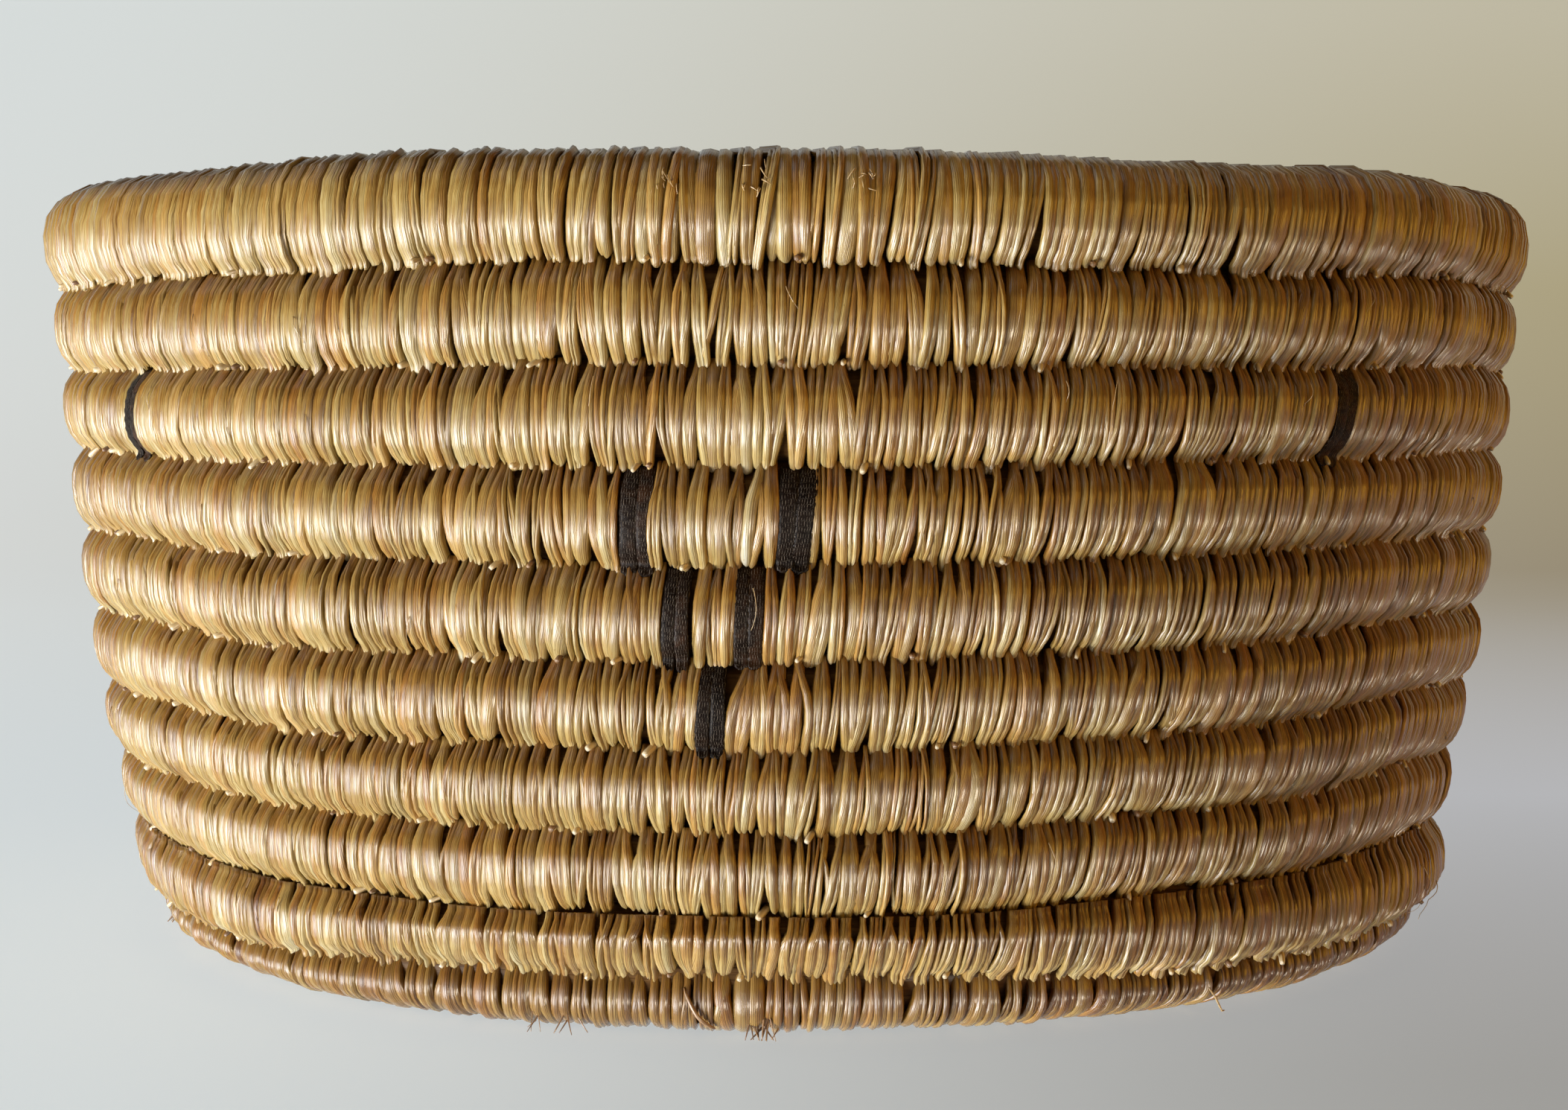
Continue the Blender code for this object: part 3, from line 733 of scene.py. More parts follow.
def add(tree, kind, settings=None, **inputs):
    """A node with its settings. Inputs are given by socket name, or i and a number, as a value or another
    node's socket."""
    node = tree.nodes.new(kind)
    for key, value in (settings or {}).items():
        setattr(node, key, value)
    names = [socket.name.replace(" ", "_") for socket in node.inputs]
    for key, value in inputs.items():
        index = int(key[1:]) if key[0] == "i" and key[1:].isdigit() else names.index(key)
        if isinstance(value, bpy.types.NodeSocket):
            tree.links.new(value, node.inputs[index])
        else:
            node.inputs[index].default_value = value
    return node


def stored(tree, name):
    """A value that is stored on the mesh by name."""
    return add(tree, "ShaderNodeAttribute", {"attribute_name": name}).outputs["Fac"]


def maths(operation, first, second=0.0, third=0.0):
    """A Math node's result. It and the helpers below put their node into the tree of their first socket."""
    node = add(first.id_data, "ShaderNodeMath", {"operation": operation}, i0=first, i1=second, i2=third)
    return node.outputs[0]


def times(first, second):
    """first * second."""
    return maths("MULTIPLY", first, second)


def times_plus(first, second, third):
    """first * second + third."""
    return maths("MULTIPLY_ADD", first, second, third)


def remap(value, low, high, start=0.0, end=1.0, curve="LINEAR"):
    """A Map Range node's result: low becomes start and high becomes end."""
    return add(value.id_data, "ShaderNodeMapRange", {"interpolation_type": curve}, Value=value,
               From_Min=low, From_Max=high, To_Min=start, To_Max=end).outputs["Result"]


def noise(vector, scale, detail, roughness=0.5):
    """A Noise node's value."""
    return add(vector.id_data, "ShaderNodeTexNoise", None, Vector=vector, Scale=scale, Detail=detail,
               Roughness=roughness).outputs["Fac"]


def chance(value):
    """A random number from 0 to 1, the same between two whole numbers of the value."""
    return add(value.id_data, "ShaderNodeTexWhiteNoise", {"noise_dimensions": "1D"},
               W=maths("FLOOR", value)).outputs["Value"]


def mix(factor, first, second, blend="MIX"):
    """A Mix node's colour."""
    return add(first.id_data, "ShaderNodeMix", {"data_type": "RGBA", "blend_type": blend}, i0=factor,
               i6=first, i7=second).outputs[2]


def ramp(factor, stops):
    """A colour ramp's colour; stops are (place, (red, green, blue))."""
    node = add(factor.id_data, "ShaderNodeValToRGB", None, Fac=factor)
    steps = node.color_ramp.elements
    while len(steps) < len(stops):
        steps.new(0.5)
    for step, (place, colour) in zip(steps, stops):
        step.position = place
        step.color = (*colour, 1.0)
    return node.outputs["Color"]


# %% Fibre lines
fibres, fibre_in, fibre_out = new_group(
    "fibre lines", [("UV", VECTOR, None), ("Lines a mm", FLOAT, 4.0), ("Wander", FLOAT, 2.4)],
    [("Ridge", FLOAT), ("Fibre", FLOAT), ("Patch", FLOAT), ("Fleck", FLOAT)],
)
uv = fibre_in.outputs["UV"]
across, along = add(fibres, "ShaderNodeSeparateXYZ", None, Vector=uv).outputs[:2]


def long_noise(lane, lane_scale, along_scale, detail):
    """Noise drawn out along the strand."""
    place = add(fibres, "ShaderNodeCombineXYZ", None, X=times(lane, lane_scale),
                Y=times(along, along_scale)).outputs["Vector"]
    return noise(place, 1.0, detail, 0.6)


def ridges(lane, power):
    """|sin(pi * lane)| ** power: one rounded ridge for each whole lane."""
    sine = maths("SINE", times(lane, math.pi))
    return maths("POWER", maths("ABSOLUTE", sine), power)


drift = maths("SUBTRACT", long_noise(across, 0.9, 0.10, 1.0), 0.5)
drift = times(drift, fibre_in.outputs["Wander"])
lane = times_plus(across, fibre_in.outputs["Lines a mm"], drift)
thread = times_plus(across, 1.15, times(drift, 0.8))
ridge = times_plus(ridges(lane, 0.6), 0.50, times(ridges(thread, 0.30), 0.50))
fibre = times_plus(chance(lane), 0.42, long_noise(lane, 0.7, 0.22, 3.0))
for name, value in {
    "Ridge": ridge, "Fibre": maths("SUBTRACT", fibre, 0.21), "Patch": noise(uv, 0.35, 2.0),
    "Fleck": remap(noise(uv, 2.6, 2.0, 0.6), 0.71, 0.76),
}.items():
    fibres.links.new(value, fibre_out.inputs[name])
print("nodes for the fibre lines:", len(fibres.nodes))

# %% Shade with a warm cast
# Painted shade: a darker shade loses more green and blue than red, so the shade painted into the straw turns
# a deep warm brown. The real dark flecks are darkened through it as well.
GREEN_POWER, BLUE_POWER = 1.45, 2.3
warm_shade, shade_in, shade_out = new_group(
    "warm shade", [("Colour", COLOUR, None), ("Shade", FLOAT, 1.0)], [("Colour", COLOUR)],
)
shade = shade_in.outputs["Shade"]
cast = add(warm_shade, "ShaderNodeCombineColor", None, Red=shade,
           Green=maths("POWER", shade, GREEN_POWER),
           Blue=maths("POWER", shade, BLUE_POWER)).outputs["Color"]
shaded = mix(1.0, shade_in.outputs["Colour"], cast, "MULTIPLY")
warm_shade.links.new(shaded, shade_out.inputs["Colour"])
kept = [round(0.5 ** power, 2) for power in (1.0, GREEN_POWER, BLUE_POWER)]
print("a shade of 0.5 keeps of red, green and blue:", *kept)

# %% Straw material
TINTS = [(0.0, (1.07, 0.93, 0.78)), (0.35, (1.0, 1.0, 1.0)), (0.65, (0.98, 1.0, 0.98)),
         (1.0, (0.93, 1.02, 1.24))]
TONE_SHARE, FIBRE_SHARE, PATCH_SHARE, PAINTED_TOE_LIGHT_SHARE = 0.42, 0.30, 0.40, 0.17
RAMP_START = -0.240
FLECK_SHADE = 0.55
SHADED_TOP = 0.80


def straw_material(name, stops, roughness, bump, lines, painted_crease_shade, painted_top_shade, shine=1.0, tinted=False):
    """Straw with fibre lines. stops are the ramp's colours from a dark fibre to a pale one, the two shades
    say how dark the painted shade in the creases and on the tops of the strands is, and shine how waxy its
    skin is. The colour is painted paler towards each strand's toe, as painted light. A tinted straw turns
    from reddish to
    greyish from strand to strand: the far decimals of a strand's tone choose which."""
    made, tree, shader = new_material(name)
    uv = add(tree, "ShaderNodeUVMap", {"uv_map": "along"}).outputs["UV"]
    tone, down = stored(tree, "tone"), stored(tree, "down")
    effect = add(tree, "ShaderNodeGroup", {"node_tree": fibres}, UV=uv, Lines_a_mm=lines).outputs
    place = times_plus(tone, TONE_SHARE, RAMP_START)
    place = times_plus(effect["Fibre"], FIBRE_SHARE, place)
    place = times_plus(effect["Patch"], PATCH_SHARE, place)
    # Painted light: the colour grows paler towards each strand's toe, where the low light falls.
    colour = ramp(times_plus(down, PAINTED_TOE_LIGHT_SHARE, place), stops)
    if tinted:
        tint = ramp(maths("FRACT", times(tone, 47.0)), TINTS)
        colour = mix(1.0, colour, tint, "MULTIPLY")
    # Painted shade: the creases between the fibre ridges are darker.
    crease = remap(effect["Ridge"], 0.20, 0.80, painted_crease_shade)
    # Painted shade: each strand is darker at its top, where it comes out of the groove.
    tops = remap(down, 0.0, SHADED_TOP, painted_top_shade, 1.0, "SMOOTHSTEP")
    # Painted shade on the tops and in the creases, times the real dark flecks.
    shade = times(times(tops, crease),
                  times_plus(effect["Fleck"], -FLECK_SHADE, 1.0))
    cast = add(tree, "ShaderNodeGroup", {"node_tree": warm_shade}, Colour=colour, Shade=shade)
    raised_lines = add(tree, "ShaderNodeBump", None, Strength=1.0, Distance=bump, Height=effect["Ridge"])
    rough = times_plus(effect["Fibre"], -0.14, roughness + 0.07)
    tree.links.new(cast.outputs["Colour"], shader.inputs["Base Color"])
    tree.links.new(rough, shader.inputs["Roughness"])
    tree.links.new(raised_lines.outputs["Normal"], shader.inputs["Normal"])
    shader.inputs["Specular IOR Level"].default_value = 0.55 * shine
    shader.inputs["Coat Weight"].default_value = 0.50 * shine
    shader.inputs["Coat Roughness"].default_value = 0.17
    return made


STRAW_STOPS = [(0.10, (0.180, 0.083, 0.014)), (0.32, (0.355, 0.207, 0.050)), (0.50, (0.485, 0.341, 0.114)),
               (0.68, (0.615, 0.490, 0.235)), (0.88, (0.800, 0.725, 0.530))]
# Painted shade: the bundle's colours are far darker than straw, for the shade deep in the gaps where it
# shows.
SHADED_BUNDLE_STOPS = [(0.25, (0.060, 0.026, 0.007)), (0.50, (0.140, 0.072, 0.022)), (0.80, (0.280, 0.165, 0.060))]
PALE_STOPS = [(0.20, (0.360, 0.200, 0.060)), (0.55, (0.640, 0.480, 0.240)), (0.85, (0.860, 0.780, 0.580))]
BROWN_STOPS = [(0.25, (0.050, 0.020, 0.007)), (0.50, (0.150, 0.066, 0.022)), (0.80, (0.380, 0.215, 0.085))]
straw = straw_material("straw stitches", STRAW_STOPS, 0.24, 0.000085, 4.4, 0.55, 0.70, tinted=True)
bundle_grass = straw_material("bundle grass", SHADED_BUNDLE_STOPS, 0.85, 0.00008, 1.6, 0.60, 1.0, 0.1)
pale_straw = straw_material("pale straw", PALE_STOPS, 0.40, 0.00004, 5.0, 0.8, 1.0)
brown_straw = straw_material("brown straw", BROWN_STOPS, 0.50, 0.00006, 5.0, 0.7, 1.0)
print("materials of straw:", straw.name, bundle_grass.name, pale_straw.name, brown_straw.name)

# %% Pieces of straw
stitched = {f"stitched_wall_course_{course:02d}": mesh for course, mesh in courses.items() if course > 1}
stitched["stitched_rim_course"] = courses[1]
stitched.update({f"stitched_base_round_{ring:02d}": mesh for ring, mesh in rounds.items()})
for node, mesh in stitched.items():
    add_piece(node.replace("stitched", "stitches"), mesh, straw, "straw_stitches", node)
add_piece("grass_bundle", bundle, bundle_grass, "bundle_grass", "foundation_coil")
print("triangles of straw:", 2 * sum(len(mesh[1]) for mesh in stitched.values()))

# %% [markdown]
# ## Dark strips
# Each dark stitch is a strip of dark, thin skin, wound round the coil twice, side by side. It lies flat
# between the straw, a little lower than its crowns, and its lower end is tucked into the groove with a small
# crumpled foot. The skin is cracked into little blocks, with pale flecks of dust in the cracks. One wrap is
# the same kind of swept tube as a strand, with a flatter top and more points, so that it can wrinkle.

# %% Wraps of the dark strips
WRAP_ACROSS = np.array([-1.0, -0.90, -0.55, -0.15, 0.15, 0.55, 0.90, 1.0, 0.5, -0.5])
WRAP_CROWN = np.array([0.0, 0.78, 1.0, 1.04, 1.04, 1.0, 0.78, 0.0, -1.0, -1.0])
WRAP_RINGS = 34
WRAP_THICKNESS = 0.00055
WRAP_SINK = 0.00025
WRAP_FOOT_LIFT = 0.0007


def build_wrap(random, turn, offset, width):
    """One wrap: a flat closed tube that follows the outline of the coil from groove to groove, with slow
    waves in its width and place and small wrinkles in its height."""
    share = np.linspace(0.0, 1.0, WRAP_RINGS)[None, :, None]
    along, outward = inner_outline(share, turn, -0.0001, random.uniform(0.0010, 0.0016))
    sway = random.uniform(-0.00018, 0.00018) * np.sin(4.0 * share + random.uniform(0.0, 6.0))
    side = math.sin(FULL_TURN * turn - SEAM_ANGLE)
    lean = (random.normal(DRAWN_LEAN, 0.030) + SIDE_LEAN * side ** 2) * along
    foot = soft((share - 0.86) / 0.14)
    wide = width * (1.0 + 0.05 * np.sin(9.0 * share + random.uniform(0.0, 6.0)) - 0.20 * foot)
    wide = wide * np.sqrt(np.maximum(1.0 - 0.7 * np.clip((share - 0.97) / 0.03, 0.0, 1.0) ** 2, 0.0))
    wrinkle = 0.00006 * np.sin(60.0 * share + 4.0 * WRAP_ACROSS + random.uniform(0.0, 6.0))
    wrinkle = wrinkle + 0.00016 * foot * np.sin(38.0 * share + 3.0 * WRAP_ACROSS)
    rise = -WRAP_SINK + WRAP_FOOT_LIFT * foot + 0.5 * WRAP_THICKNESS * (WRAP_CROWN - 1.0) + wrinkle
    along, outward, length = raised(along, outward, rise)
    points = on_coil(turn, offset + sway + lean + 0.5 * wide * WRAP_ACROSS, along, outward).reshape(-1, 3)
    seed = random.uniform(0.0, 0.5)
    uv = 1000.0 * together(0.5 * wide * WRAP_ACROSS + seed, length + seed).reshape(-1, 2)
    values = {"tone": np.full(len(points), random.uniform(0.0, 1.0))}
    return points, sweep_faces(1, WRAP_RINGS, len(WRAP_ACROSS)), uv, values


# %% Dark skin
ROW_HEIGHT = 0.72
TICKS_A_MM = 3.0
SKIN_STOPS = [(0.15, (0.003, 0.0015, 0.001)), (0.50, (0.010, 0.0045, 0.002)), (0.85, (0.050, 0.019, 0.006))]
DUST = (0.27, 0.22, 0.17, 1.0)
dark, tree, shader = new_material("dark skin")
uv = add(tree, "ShaderNodeUVMap", {"uv_map": "along"}).outputs["UV"]
bent = add(tree, "ShaderNodeTexNoise", None, Vector=uv, Scale=0.8, Detail=2.0)
bend = add(tree, "ShaderNodeVectorMath", {"operation": "MULTIPLY_ADD"}, i0=bent.outputs["Color"],
           i1=(0.30, 0.70, 0.0), i2=uv).outputs["Vector"]
across, along = add(tree, "ShaderNodeSeparateXYZ", None, Vector=bend).outputs[:2]


def off_middle(value):
    """|fraction of value - 0.5|: 0 halfway between two whole numbers and 0.5 at each of them."""
    return maths("ABSOLUTE", maths("SUBTRACT", maths("FRACT", value), 0.5))


rows = maths("DIVIDE", along, ROW_HEIGHT)
ticks = off_middle(times_plus(across, TICKS_A_MM, chance(rows)))
from_middle = off_middle(rows)
tick = times(remap(ticks, 0.12, 0.05), remap(from_middle, 0.44, 0.34))
crack = maths("MAXIMUM", tick, remap(from_middle, 0.46, 0.49, 0.0, 0.45))
dusty = remap(noise(uv, 1.9, 3.0, 0.7), 0.42, 0.58)
broad = noise(uv, 0.45, 3.0)
mixed = times_plus(stored(tree, "tone"), 0.35, times_plus(broad, 0.9, -0.15))
pale = times(times(crack, dusty), 0.75)
tree.links.new(mix(pale, ramp(mixed, SKIN_STOPS), DUST), shader.inputs["Base Color"])
tree.links.new(times_plus(broad, 0.30, 0.24), shader.inputs["Roughness"])
shader.inputs["Specular IOR Level"].default_value = 0.07
height = times_plus(crack, -1.0, times(broad, 0.8))
bump = add(tree, "ShaderNodeBump", None, Strength=1.0, Distance=0.00004, Height=height)
tree.links.new(bump.outputs["Normal"], shader.inputs["Normal"])
print("nodes for the dark skin:", len(tree.nodes))

# %% Pieces of dark skin
# Width of each of the two wraps, and how far the strip sits to the left, in metres.
WRAP_FITS = {
    "upper_left": (0.00220, -0.0004), "upper_right": (0.00232, -0.0005), "lower_left": (0.00168, 0.0001),
    "lower_right": (0.00192, 0.0003), "point": (0.00186, 0.0006), "bar": (0.00215, 0.0),
}
for number, (node, (course, turn)) in enumerate(strips.items()):
    random = np.random.default_rng(300 + number)
    wide, shift = WRAP_FITS.get(node.split("_", 2)[2], WRAP_FITS["bar"])
    wraps = [build_wrap(random, turn, shift + side * 0.46 * wide, 1.06 * wide) for side in (-1.0, 1.0)]
    add_piece(node.replace("dark", "wraps"), join_parts(wraps), dark, "dark_strip", node)
print("pieces of dark skin:", len(strips))

# %% [markdown]
# ## Strand ends
# A new strand is laid in every dozen stitches or so, and its thick pale end stays in the groove as a little
# stub. Here and there a brown leaf base is caught in the same way, single fibres have come loose, and at the
# foot a few straws are frayed or torn. They are few, but the eye finds them at once. Hair curves could give
# the fibres, but stubs need a cut end, so all of them are thin tubes round a curved line.

# %% Tubes round lines
SEED_STEP = 7.3


def build_tubes(lines, radius, corners, tone, down=1.0):
    """The mesh of closed tubes round many lines. lines is (n, rings, 3) and radius (n, rings): each ring lies
    square to its line, turned to the outward direction of the basket. tone is one number, or one a ring."""
    count, rings = radius.shape
    tangent = np.gradient(lines, axis=1)
    step = np.linalg.norm(tangent, axis=-1, keepdims=True)
    tangent = tangent / step
    outward = lines * np.array([1.0, 1.0, 0.0]) + np.array([0.0, 0.0, 0.013])
    across = np.cross(tangent, outward)
    across /= np.linalg.norm(across, axis=-1, keepdims=True)
    normal = np.cross(across, tangent)
    corner = np.arange(corners) * FULL_TURN / corners
    offset = np.cos(corner)[:, None] * across[:, :, None] + np.sin(corner)[:, None] * normal[:, :, None]
    points = (lines[:, :, None] + radius[:, :, None, None] * offset).reshape(-1, 3)
    shift = SEED_STEP * np.arange(count)[:, None, None]
    uv = together(1000.0 * radius[:, :, None] * corner + shift, 1000.0 * np.cumsum(step, axis=1) + shift)
    values = {"tone": np.repeat(np.broadcast_to(tone, radius.shape).ravel(), corners),
              "down": np.full(len(points), down)}
    return points, sweep_faces(count, rings, corners), uv.reshape(-1, 2), values


# %% Pale stubs and brown knots
def groove_ends(random, count, length, thick, tilt):
    """Short blunt ends that stick out of the grooves of the wall: a line that starts inside the groove and
    bends out, down and to one side. Its tone grows along each, because a cut end is the palest."""
    even = (np.arange(count) + random.uniform(0.1, 0.9, count)) / count
    turn = (BASE_ROUNDS + 0.2 + (WALL_COURSES - 0.25) * even)[:, None]
    share = np.linspace(0.0, 1.0, 7)[None]
    lower, _, depth = section(turn)
    reach = length * random.uniform(0.6, 1.3, (count, 1))
    side = tilt * random.uniform(0.4, 1.3, (count, 1))
    out = depth - 0.0036 + 0.0022 * share ** 0.7
    along = lower + 0.0003 - (0.25 + 0.75 * random.random((count, 1))) * reach * share ** 1.2
    radius = thick * random.uniform(0.7, 1.2, (count, 1)) * np.where(share < 1.0, 1.0 - 0.1 * share, 0.7)
    return build_tubes(on_coil(turn, side * reach * share, along, out), radius, 6, share)


STUBS, KNOTS = 215, 110
random = np.random.default_rng(401)
stubs = groove_ends(random, STUBS, 0.0014, 0.00046, 0.9)
add_piece("strand_stubs", stubs, pale_straw, "straw_stitches")
knots = groove_ends(random, KNOTS, 0.0008, 0.00040, 0.4)
add_piece("brown_knots", knots, brown_straw, "straw_stitches")
print("stubs:", STUBS, "knots:", KNOTS)


# %% Loose fibres
def loose_fibres(random, turn, low, high, length, spread, curl, thick):
    """Single fibres that lie over the stitches: each line drifts round the basket while it goes up or down,
    bends by its curl, and both its ends dip into the straw."""
    count = len(turn)
    share = np.linspace(0.0, 1.0, 9)[None]
    lower, upper, _ = section(turn[:, None])
    start = lower + (upper - lower) * random.uniform(low, high, (count, 1))
    size = length * random.uniform(0.5, 1.4, (count, 1))
    swing = random.normal(0.0, spread, (count, 1)) + random.normal(0.0, curl, (count, 1)) * (share - 0.5)
    step = size / (share.shape[1] - 1)
    along = start - np.cumsum(step * np.cos(swing), axis=1)
    middle, half, depth = middle_section(turn[:, None])
    level = np.clip((along - middle) / half, -1.0, TOP_SINK_START)
    lift = random.uniform(0.0001, 0.0010, (count, 1)) * np.sin(math.pi * np.minimum(share * 1.15, 1.0))
    out = side_level(level, depth, half) + lift
    line = on_coil(turn[:, None], np.cumsum(step * np.sin(swing), axis=1), along, out)
    radius = thick * random.uniform(0.6, 1.5, (count, 1)) * (1.0 - 0.5 * share)
    return build_tubes(line, radius, 4, 0.35)


LOOSE_FIBRES = 110
RIM_TUFTS = np.radians([-6.9, -1.6, 4.7, 133.0, 221.0])
random = np.random.default_rng(402)
fibre_turn = random.uniform(BASE_ROUNDS, TURNS - 0.02, LOOSE_FIBRES)
scattered = loose_fibres(random, fibre_turn, 0.35, 0.95, 0.0055, 0.35, 0.4, 0.00006)
tuft_turn = np.concatenate([turn_at(1, angle) + random.normal(0.0, 0.0012, 9) for angle in RIM_TUFTS])
tufts = loose_fibres(random, tuft_turn, 0.62, 0.90, 0.0013, 0.7, 0.2, 0.00008)
add_piece("loose_fibres", join_parts([scattered, tufts]), pale_straw, "straw_stitches")
print("loose fibres:", LOOSE_FIBRES, "and", len(tuft_turn), "in tufts at the rim")

# %% Frayed ends at the foot
FOOT_EDGE = 0.1035
FOOT_TUFTS = [-18.6, -16.6, -2.1, -1.5, -0.8, 118.0, 200.0, 287.0]


def foot_tufts(random, places, count, length):
    """Small brushes of broken fibres that stick out from under the foot: lines that fan out and sink to the
    surface, in angle from the front, radius and height."""
    number = len(places) * count
    place = np.repeat(np.radians(places), count)[:, None]
    share = np.linspace(0.0, 1.0, 6)[None]
    size = length * random.uniform(0.5, 1.2, (number, 1))
    fan = random.normal(0.0, 1.0, (number, 1))
    start = place + random.normal(0.0, 0.006, (number, 1))
    height = random.uniform(0.0008, 0.0030, (number, 1)) * (1.0 - share) + 0.0003
    aside, out = size * share * np.sin(fan), size * share * np.cos(fan)
    line = round_axis(start + aside / FOOT_EDGE, FOOT_EDGE + out, height)
    thick = random.uniform(0.00010, 0.00020, (number, 1)) * (1.0 - 0.6 * share)
    return build_tubes(line, thick, 4, random.uniform(0.6, 1.3, (number, 1)))


random = np.random.default_rng(403)
frayed = foot_tufts(random, FOOT_TUFTS, 4, 0.0017)
add_piece("frayed_ends", frayed, brown_straw, "straw_stitches")
print("frayed ends, faces:", len(frayed[1]))


# %% Torn straws at the foot
def torn_straw(angles, shares, lifts, thick, tone):
    """One straw that has come away from the lowest course: a bent tube through places given by their angle
    from the front, their share of the way down the strands and their distance from them."""
    step = np.linspace(0.0, 1.0, 14)
    places = np.linspace(0.0, 1.0, len(angles))
    angle, share, lift = (np.interp(step, places, row) for row in (np.radians(angles), shares, lifts))
    turn = turn_at(WALL_COURSES + 1, angle)
    along, outward = side_outline(share, turn, 0.0004, 0.0008)
    radius = thick * np.sqrt(1.0 - 0.8 * np.abs(2.0 * step - 1.0) ** 3)[None]
    return build_tubes(coil_to_space(turn, along, outward + lift)[None], radius, 6, tone)


splinter = torn_straw([-7.2, -6.1, -5.0], [0.17, 0.31, 0.45], [0.0003, 0.0006, 0.0003], 0.00028, 1.2)
add_piece("foot_splinter", splinter, brown_straw, "straw_stitches")
tail = torn_straw([33.9, 34.6, 35.2, 35.8], [0.26, 0.33, 0.39, 0.43],
                  [0.0003, 0.0006, 0.0013, 0.0028], 0.00016, 0.5)
add_piece("loose_tail", tail, pale_straw, "straw_stitches")
lowest = [round(1000 * mesh[0][:, 2].min(), 2) for mesh in (splinter, tail)]
print("lowest points of the splinter and the tail:", *lowest, "mm")

# %% [markdown]
# ## The middle of the base
# The coil starts round the folded end of the bundle, so the middle of the base shows a little knot of stems.
# A plain plug would close the hole too, but stem ends set in a spiral look like what is really there.

# %% Knot of stems
KNOT_STEMS = 40
KNOT_RADIUS = 0.0035
KNOT_LOW, KNOT_HIGH = 0.0050, 0.0088
STEM_RADIUS = 0.00064
GOLDEN_ANGLE = math.pi * (3.0 - math.sqrt(5.0))
stem = np.arange(KNOT_STEMS)[:, None]
from_middle = KNOT_RADIUS * np.sqrt((stem + 0.5) / KNOT_STEMS)
share = np.linspace(0.0, 1.0, 7)[None]
slant = 0.0004 * (2.0 * share - 1.0)
around = GOLDEN_ANGLE * stem
stem_lines = together(from_middle * np.cos(around) + slant, from_middle * np.sin(around),
                      KNOT_LOW + (KNOT_HIGH - KNOT_LOW) * share)
stem_thick = STEM_RADIUS * np.sqrt(1.0 - 0.9 * (2.0 * share - 1.0) ** 6) * np.ones((KNOT_STEMS, 1))
add_piece("centre_knot", build_tubes(stem_lines, stem_thick, 6, 0.45, 0.4), straw, "straw_stitches")
print("stems in the knot:", KNOT_STEMS)

# %% [markdown]
# ## Light, floor and background
# The light in the photograph is daylight from the left that comes in low, so it shines on the lower half of
# every coil. One soft lamp gives that light, a weak one above lights the floor, and a warm one at the right
# stands in for a yellow wall. Two more lamps only add to the shine of the straw. The low lamps stand under
# the level of the floor, so the floor lets them through. The floor bends up into the backdrop, and its paint
# goes from a cool white at the left to a grey floor and a yellowish wall at the right, which is painted
# darker there as a painted shadow.

# %% Floor and backdrop
LEFT_PAINT = [(0.15, (0.715, 0.775, 0.800)), (0.58, (0.750, 0.780, 0.775)), (0.96, (0.690, 0.745, 0.755))]
# Painted shadow: the paint at the right is darker and yellowish, a shadow painted onto the backdrop beside
# the basket.
RIGHT_PAINT_AND_SHADOW = [(0.08, (0.385, 0.385, 0.375)), (0.21, (0.53, 0.54, 0.57)), (0.55, (0.35, 0.30, 0.21)),
               (0.79, (0.44, 0.39, 0.24)), (0.96, (0.54, 0.51, 0.39))]
PAINT_START = 0.25
PAINT_LENGTH = 1.65
PAINT_FAN = 0.40
FLOOR_GLOW = 0.79
FLOOR_DEPTH = 0.32
BEND_START, BEND_RADIUS = 0.55, 0.5


def floor_sheet():
    """A sheet that lies flat under the basket and curves up behind it: straight, a quarter circle and
    straight again, carried along x."""
    angle = np.linspace(0.0, QUARTER_TURN, 17)
    depth = BEND_START + BEND_RADIUS * np.append(np.sin(angle), 1.0)
    depth = np.concatenate([[-1.6, -0.8, 0.0], depth])
    height = np.concatenate([[0.0, 0.0, 0.0], BEND_RADIUS - BEND_RADIUS * np.cos(angle), [2.4]])
    points = together(np.linspace(-2.4, 2.4, 9)[None, :], depth[:, None], height[:, None] - 0.0002)
    index = np.arange(points.shape[0] * points.shape[1]).reshape(points.shape[:2])
    faces = np.stack([index[:-1, :-1], index[:-1, 1:], index[1:, 1:], index[1:, :-1]], -1)
    return points.reshape(-1, 3), faces.reshape(-1, 4)


floor = make_object("floor", *floor_sheet())
floor_paint, tree, shader = new_material("floor paint")
metres = add(tree, "ShaderNodeTexCoord").outputs["Object"]
place = add(tree, "ShaderNodeSeparateXYZ", None, Vector=metres).outputs
from_lens = maths("MAXIMUM", maths("ADD", place["Y"], CAMERA_DISTANCE), 0.2)
fan = maths("DIVIDE", place["X"], from_lens)
climbing = maths("ADD", maths("ADD", place["Y"], place["Z"]), PAINT_START)
climbing = maths("DIVIDE", climbing, PAINT_LENGTH)
paint = mix(remap(fan, -PAINT_FAN, PAINT_FAN, 0.0, 1.0, "SMOOTHSTEP"),
            ramp(climbing, LEFT_PAINT), ramp(climbing, RIGHT_PAINT_AND_SHADOW))
ray = add(tree, "ShaderNodeLightPath").outputs
seen = maths("MAXIMUM", ray["Is Camera Ray"], ray["Is Glossy Ray"])
seen = maths("MAXIMUM", seen, ray["Is Transmission Ray"])
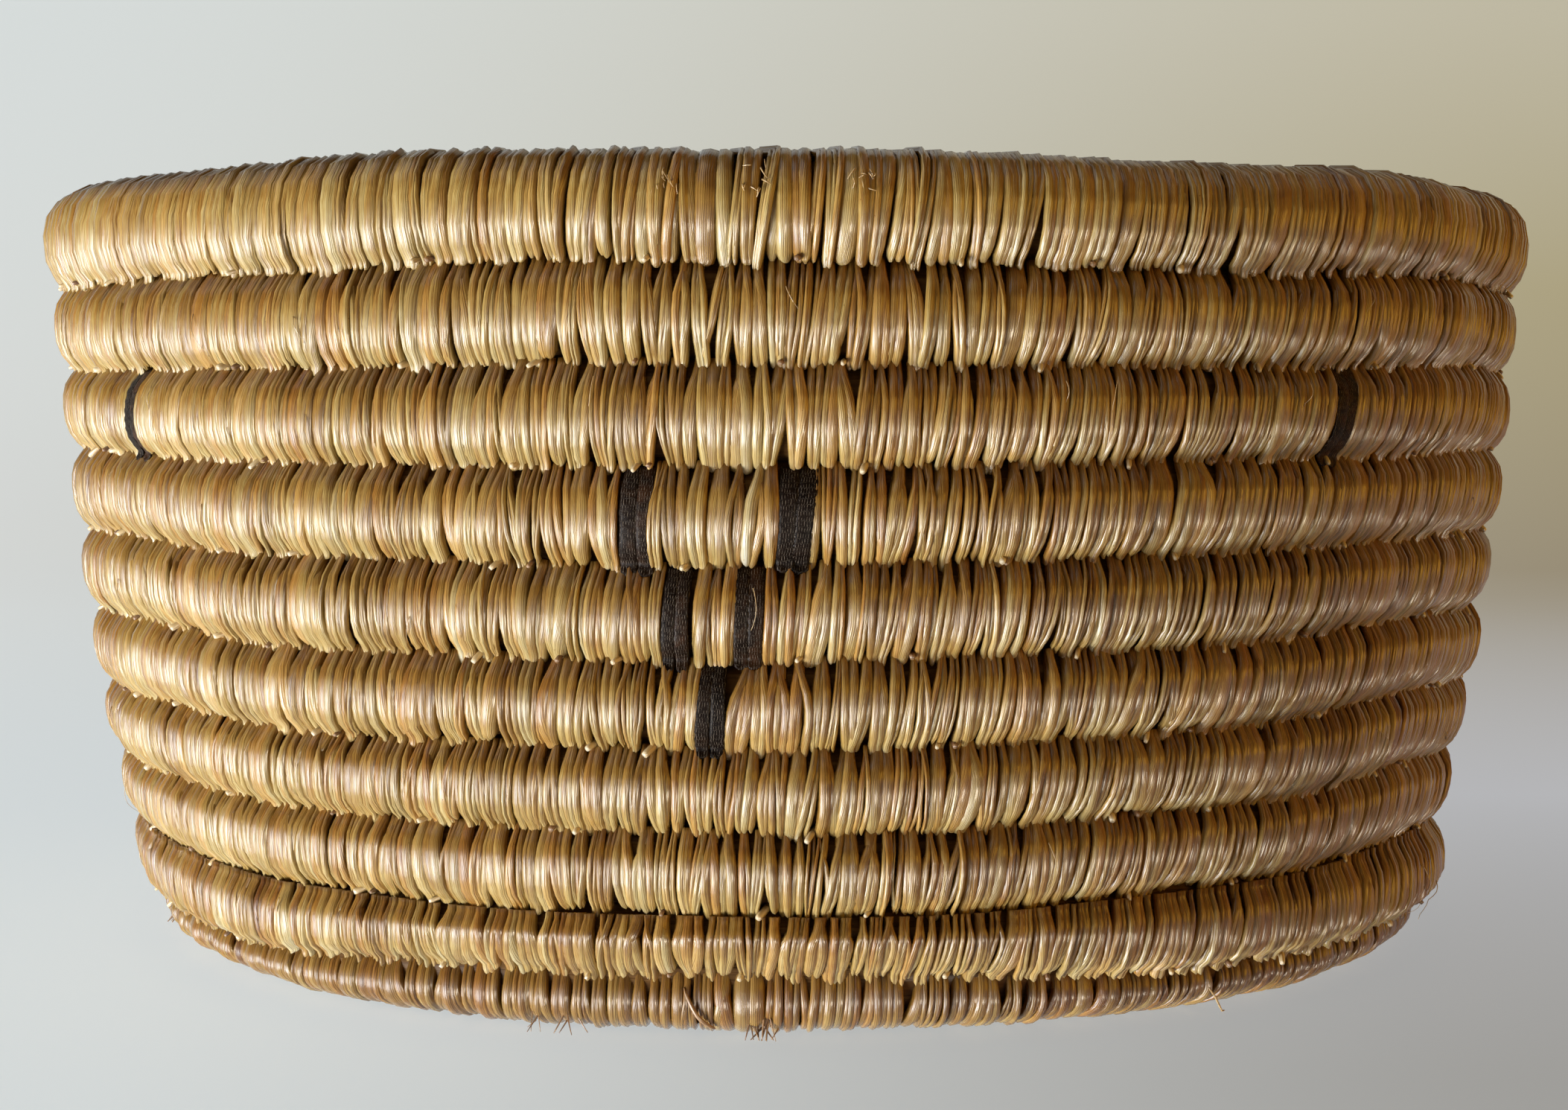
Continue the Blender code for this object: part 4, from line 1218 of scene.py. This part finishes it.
dim = mix(1.0, paint, (FLOOR_DEPTH, FLOOR_DEPTH, FLOOR_DEPTH, 1.0), "MULTIPLY")
tree.links.new(dim, shader.inputs["Base Color"])
tree.links.new(paint, shader.inputs["Emission Color"])
tree.links.new(times(seen, FLOOR_GLOW), shader.inputs["Emission Strength"])
shader.inputs["Roughness"].default_value = 0.8
shader.inputs["Specular IOR Level"].default_value = 0.2
floor.data.materials.append(floor_paint)
floor.visible_shadow = False
print("floor, faces:", len(floor.data.polygons))

# %% Lamps
MIDDLE = (0.0, 0.0, 0.06)
WINDOW = (-0.80, -0.50, -0.42)


def add_lamp(name, place, target, size, power, colour, sheen_only=False):
    """A square area lamp that faces a target; size in metres, power in watts. A lamp with sheen_only shows
    in the shine of the straw and gives no other light."""
    lamp_data = bpy.data.lights.new(name, "AREA")
    lamp_data.shape = "SQUARE"
    lamp_data.size = size
    lamp_data.energy = power
    lamp_data.color = colour
    lamp = bpy.data.objects.new(name, lamp_data)
    away = np.array(place) - np.array(target)
    flat = math.hypot(away[0], away[1])
    lamp.rotation_euler = (math.atan2(flat, away[2]), 0.0, math.atan2(away[0], -away[1]))
    lamp.location = place
    lamp.visible_diffuse = not sheen_only
    scene.collection.objects.link(lamp)


add_lamp("window", WINDOW, MIDDLE, 0.5, 20.2, (1.0, 0.98, 0.96))
add_lamp("window sheen", WINDOW, MIDDLE, 0.5, 28.0, (0.98, 0.98, 1.0), True)
add_lamp("far window sheen", (0.45, -1.00, -0.45), MIDDLE, 0.26, 9.0, (1.0, 0.88, 0.70), True)
add_lamp("sky", (-0.60, -0.50, 1.10), (0.0, 0.0, 0.05), 1.0, 3.0, (0.96, 0.98, 1.0))
add_lamp("warm wall", (0.95, -0.60, 0.0), (0.0, 0.0, 0.05), 0.6, 4.2, (1.0, 0.52, 0.06))
world = bpy.data.worlds.new("room")
scene.world = world
world.use_nodes = True
background = world.node_tree.nodes["Background"].inputs
background["Color"].default_value = (1.0, 0.70, 0.28, 1.0)
background["Strength"].default_value = 0.12
scene.view_settings.view_transform = "Standard"
print("lamps:", len(bpy.data.lights))
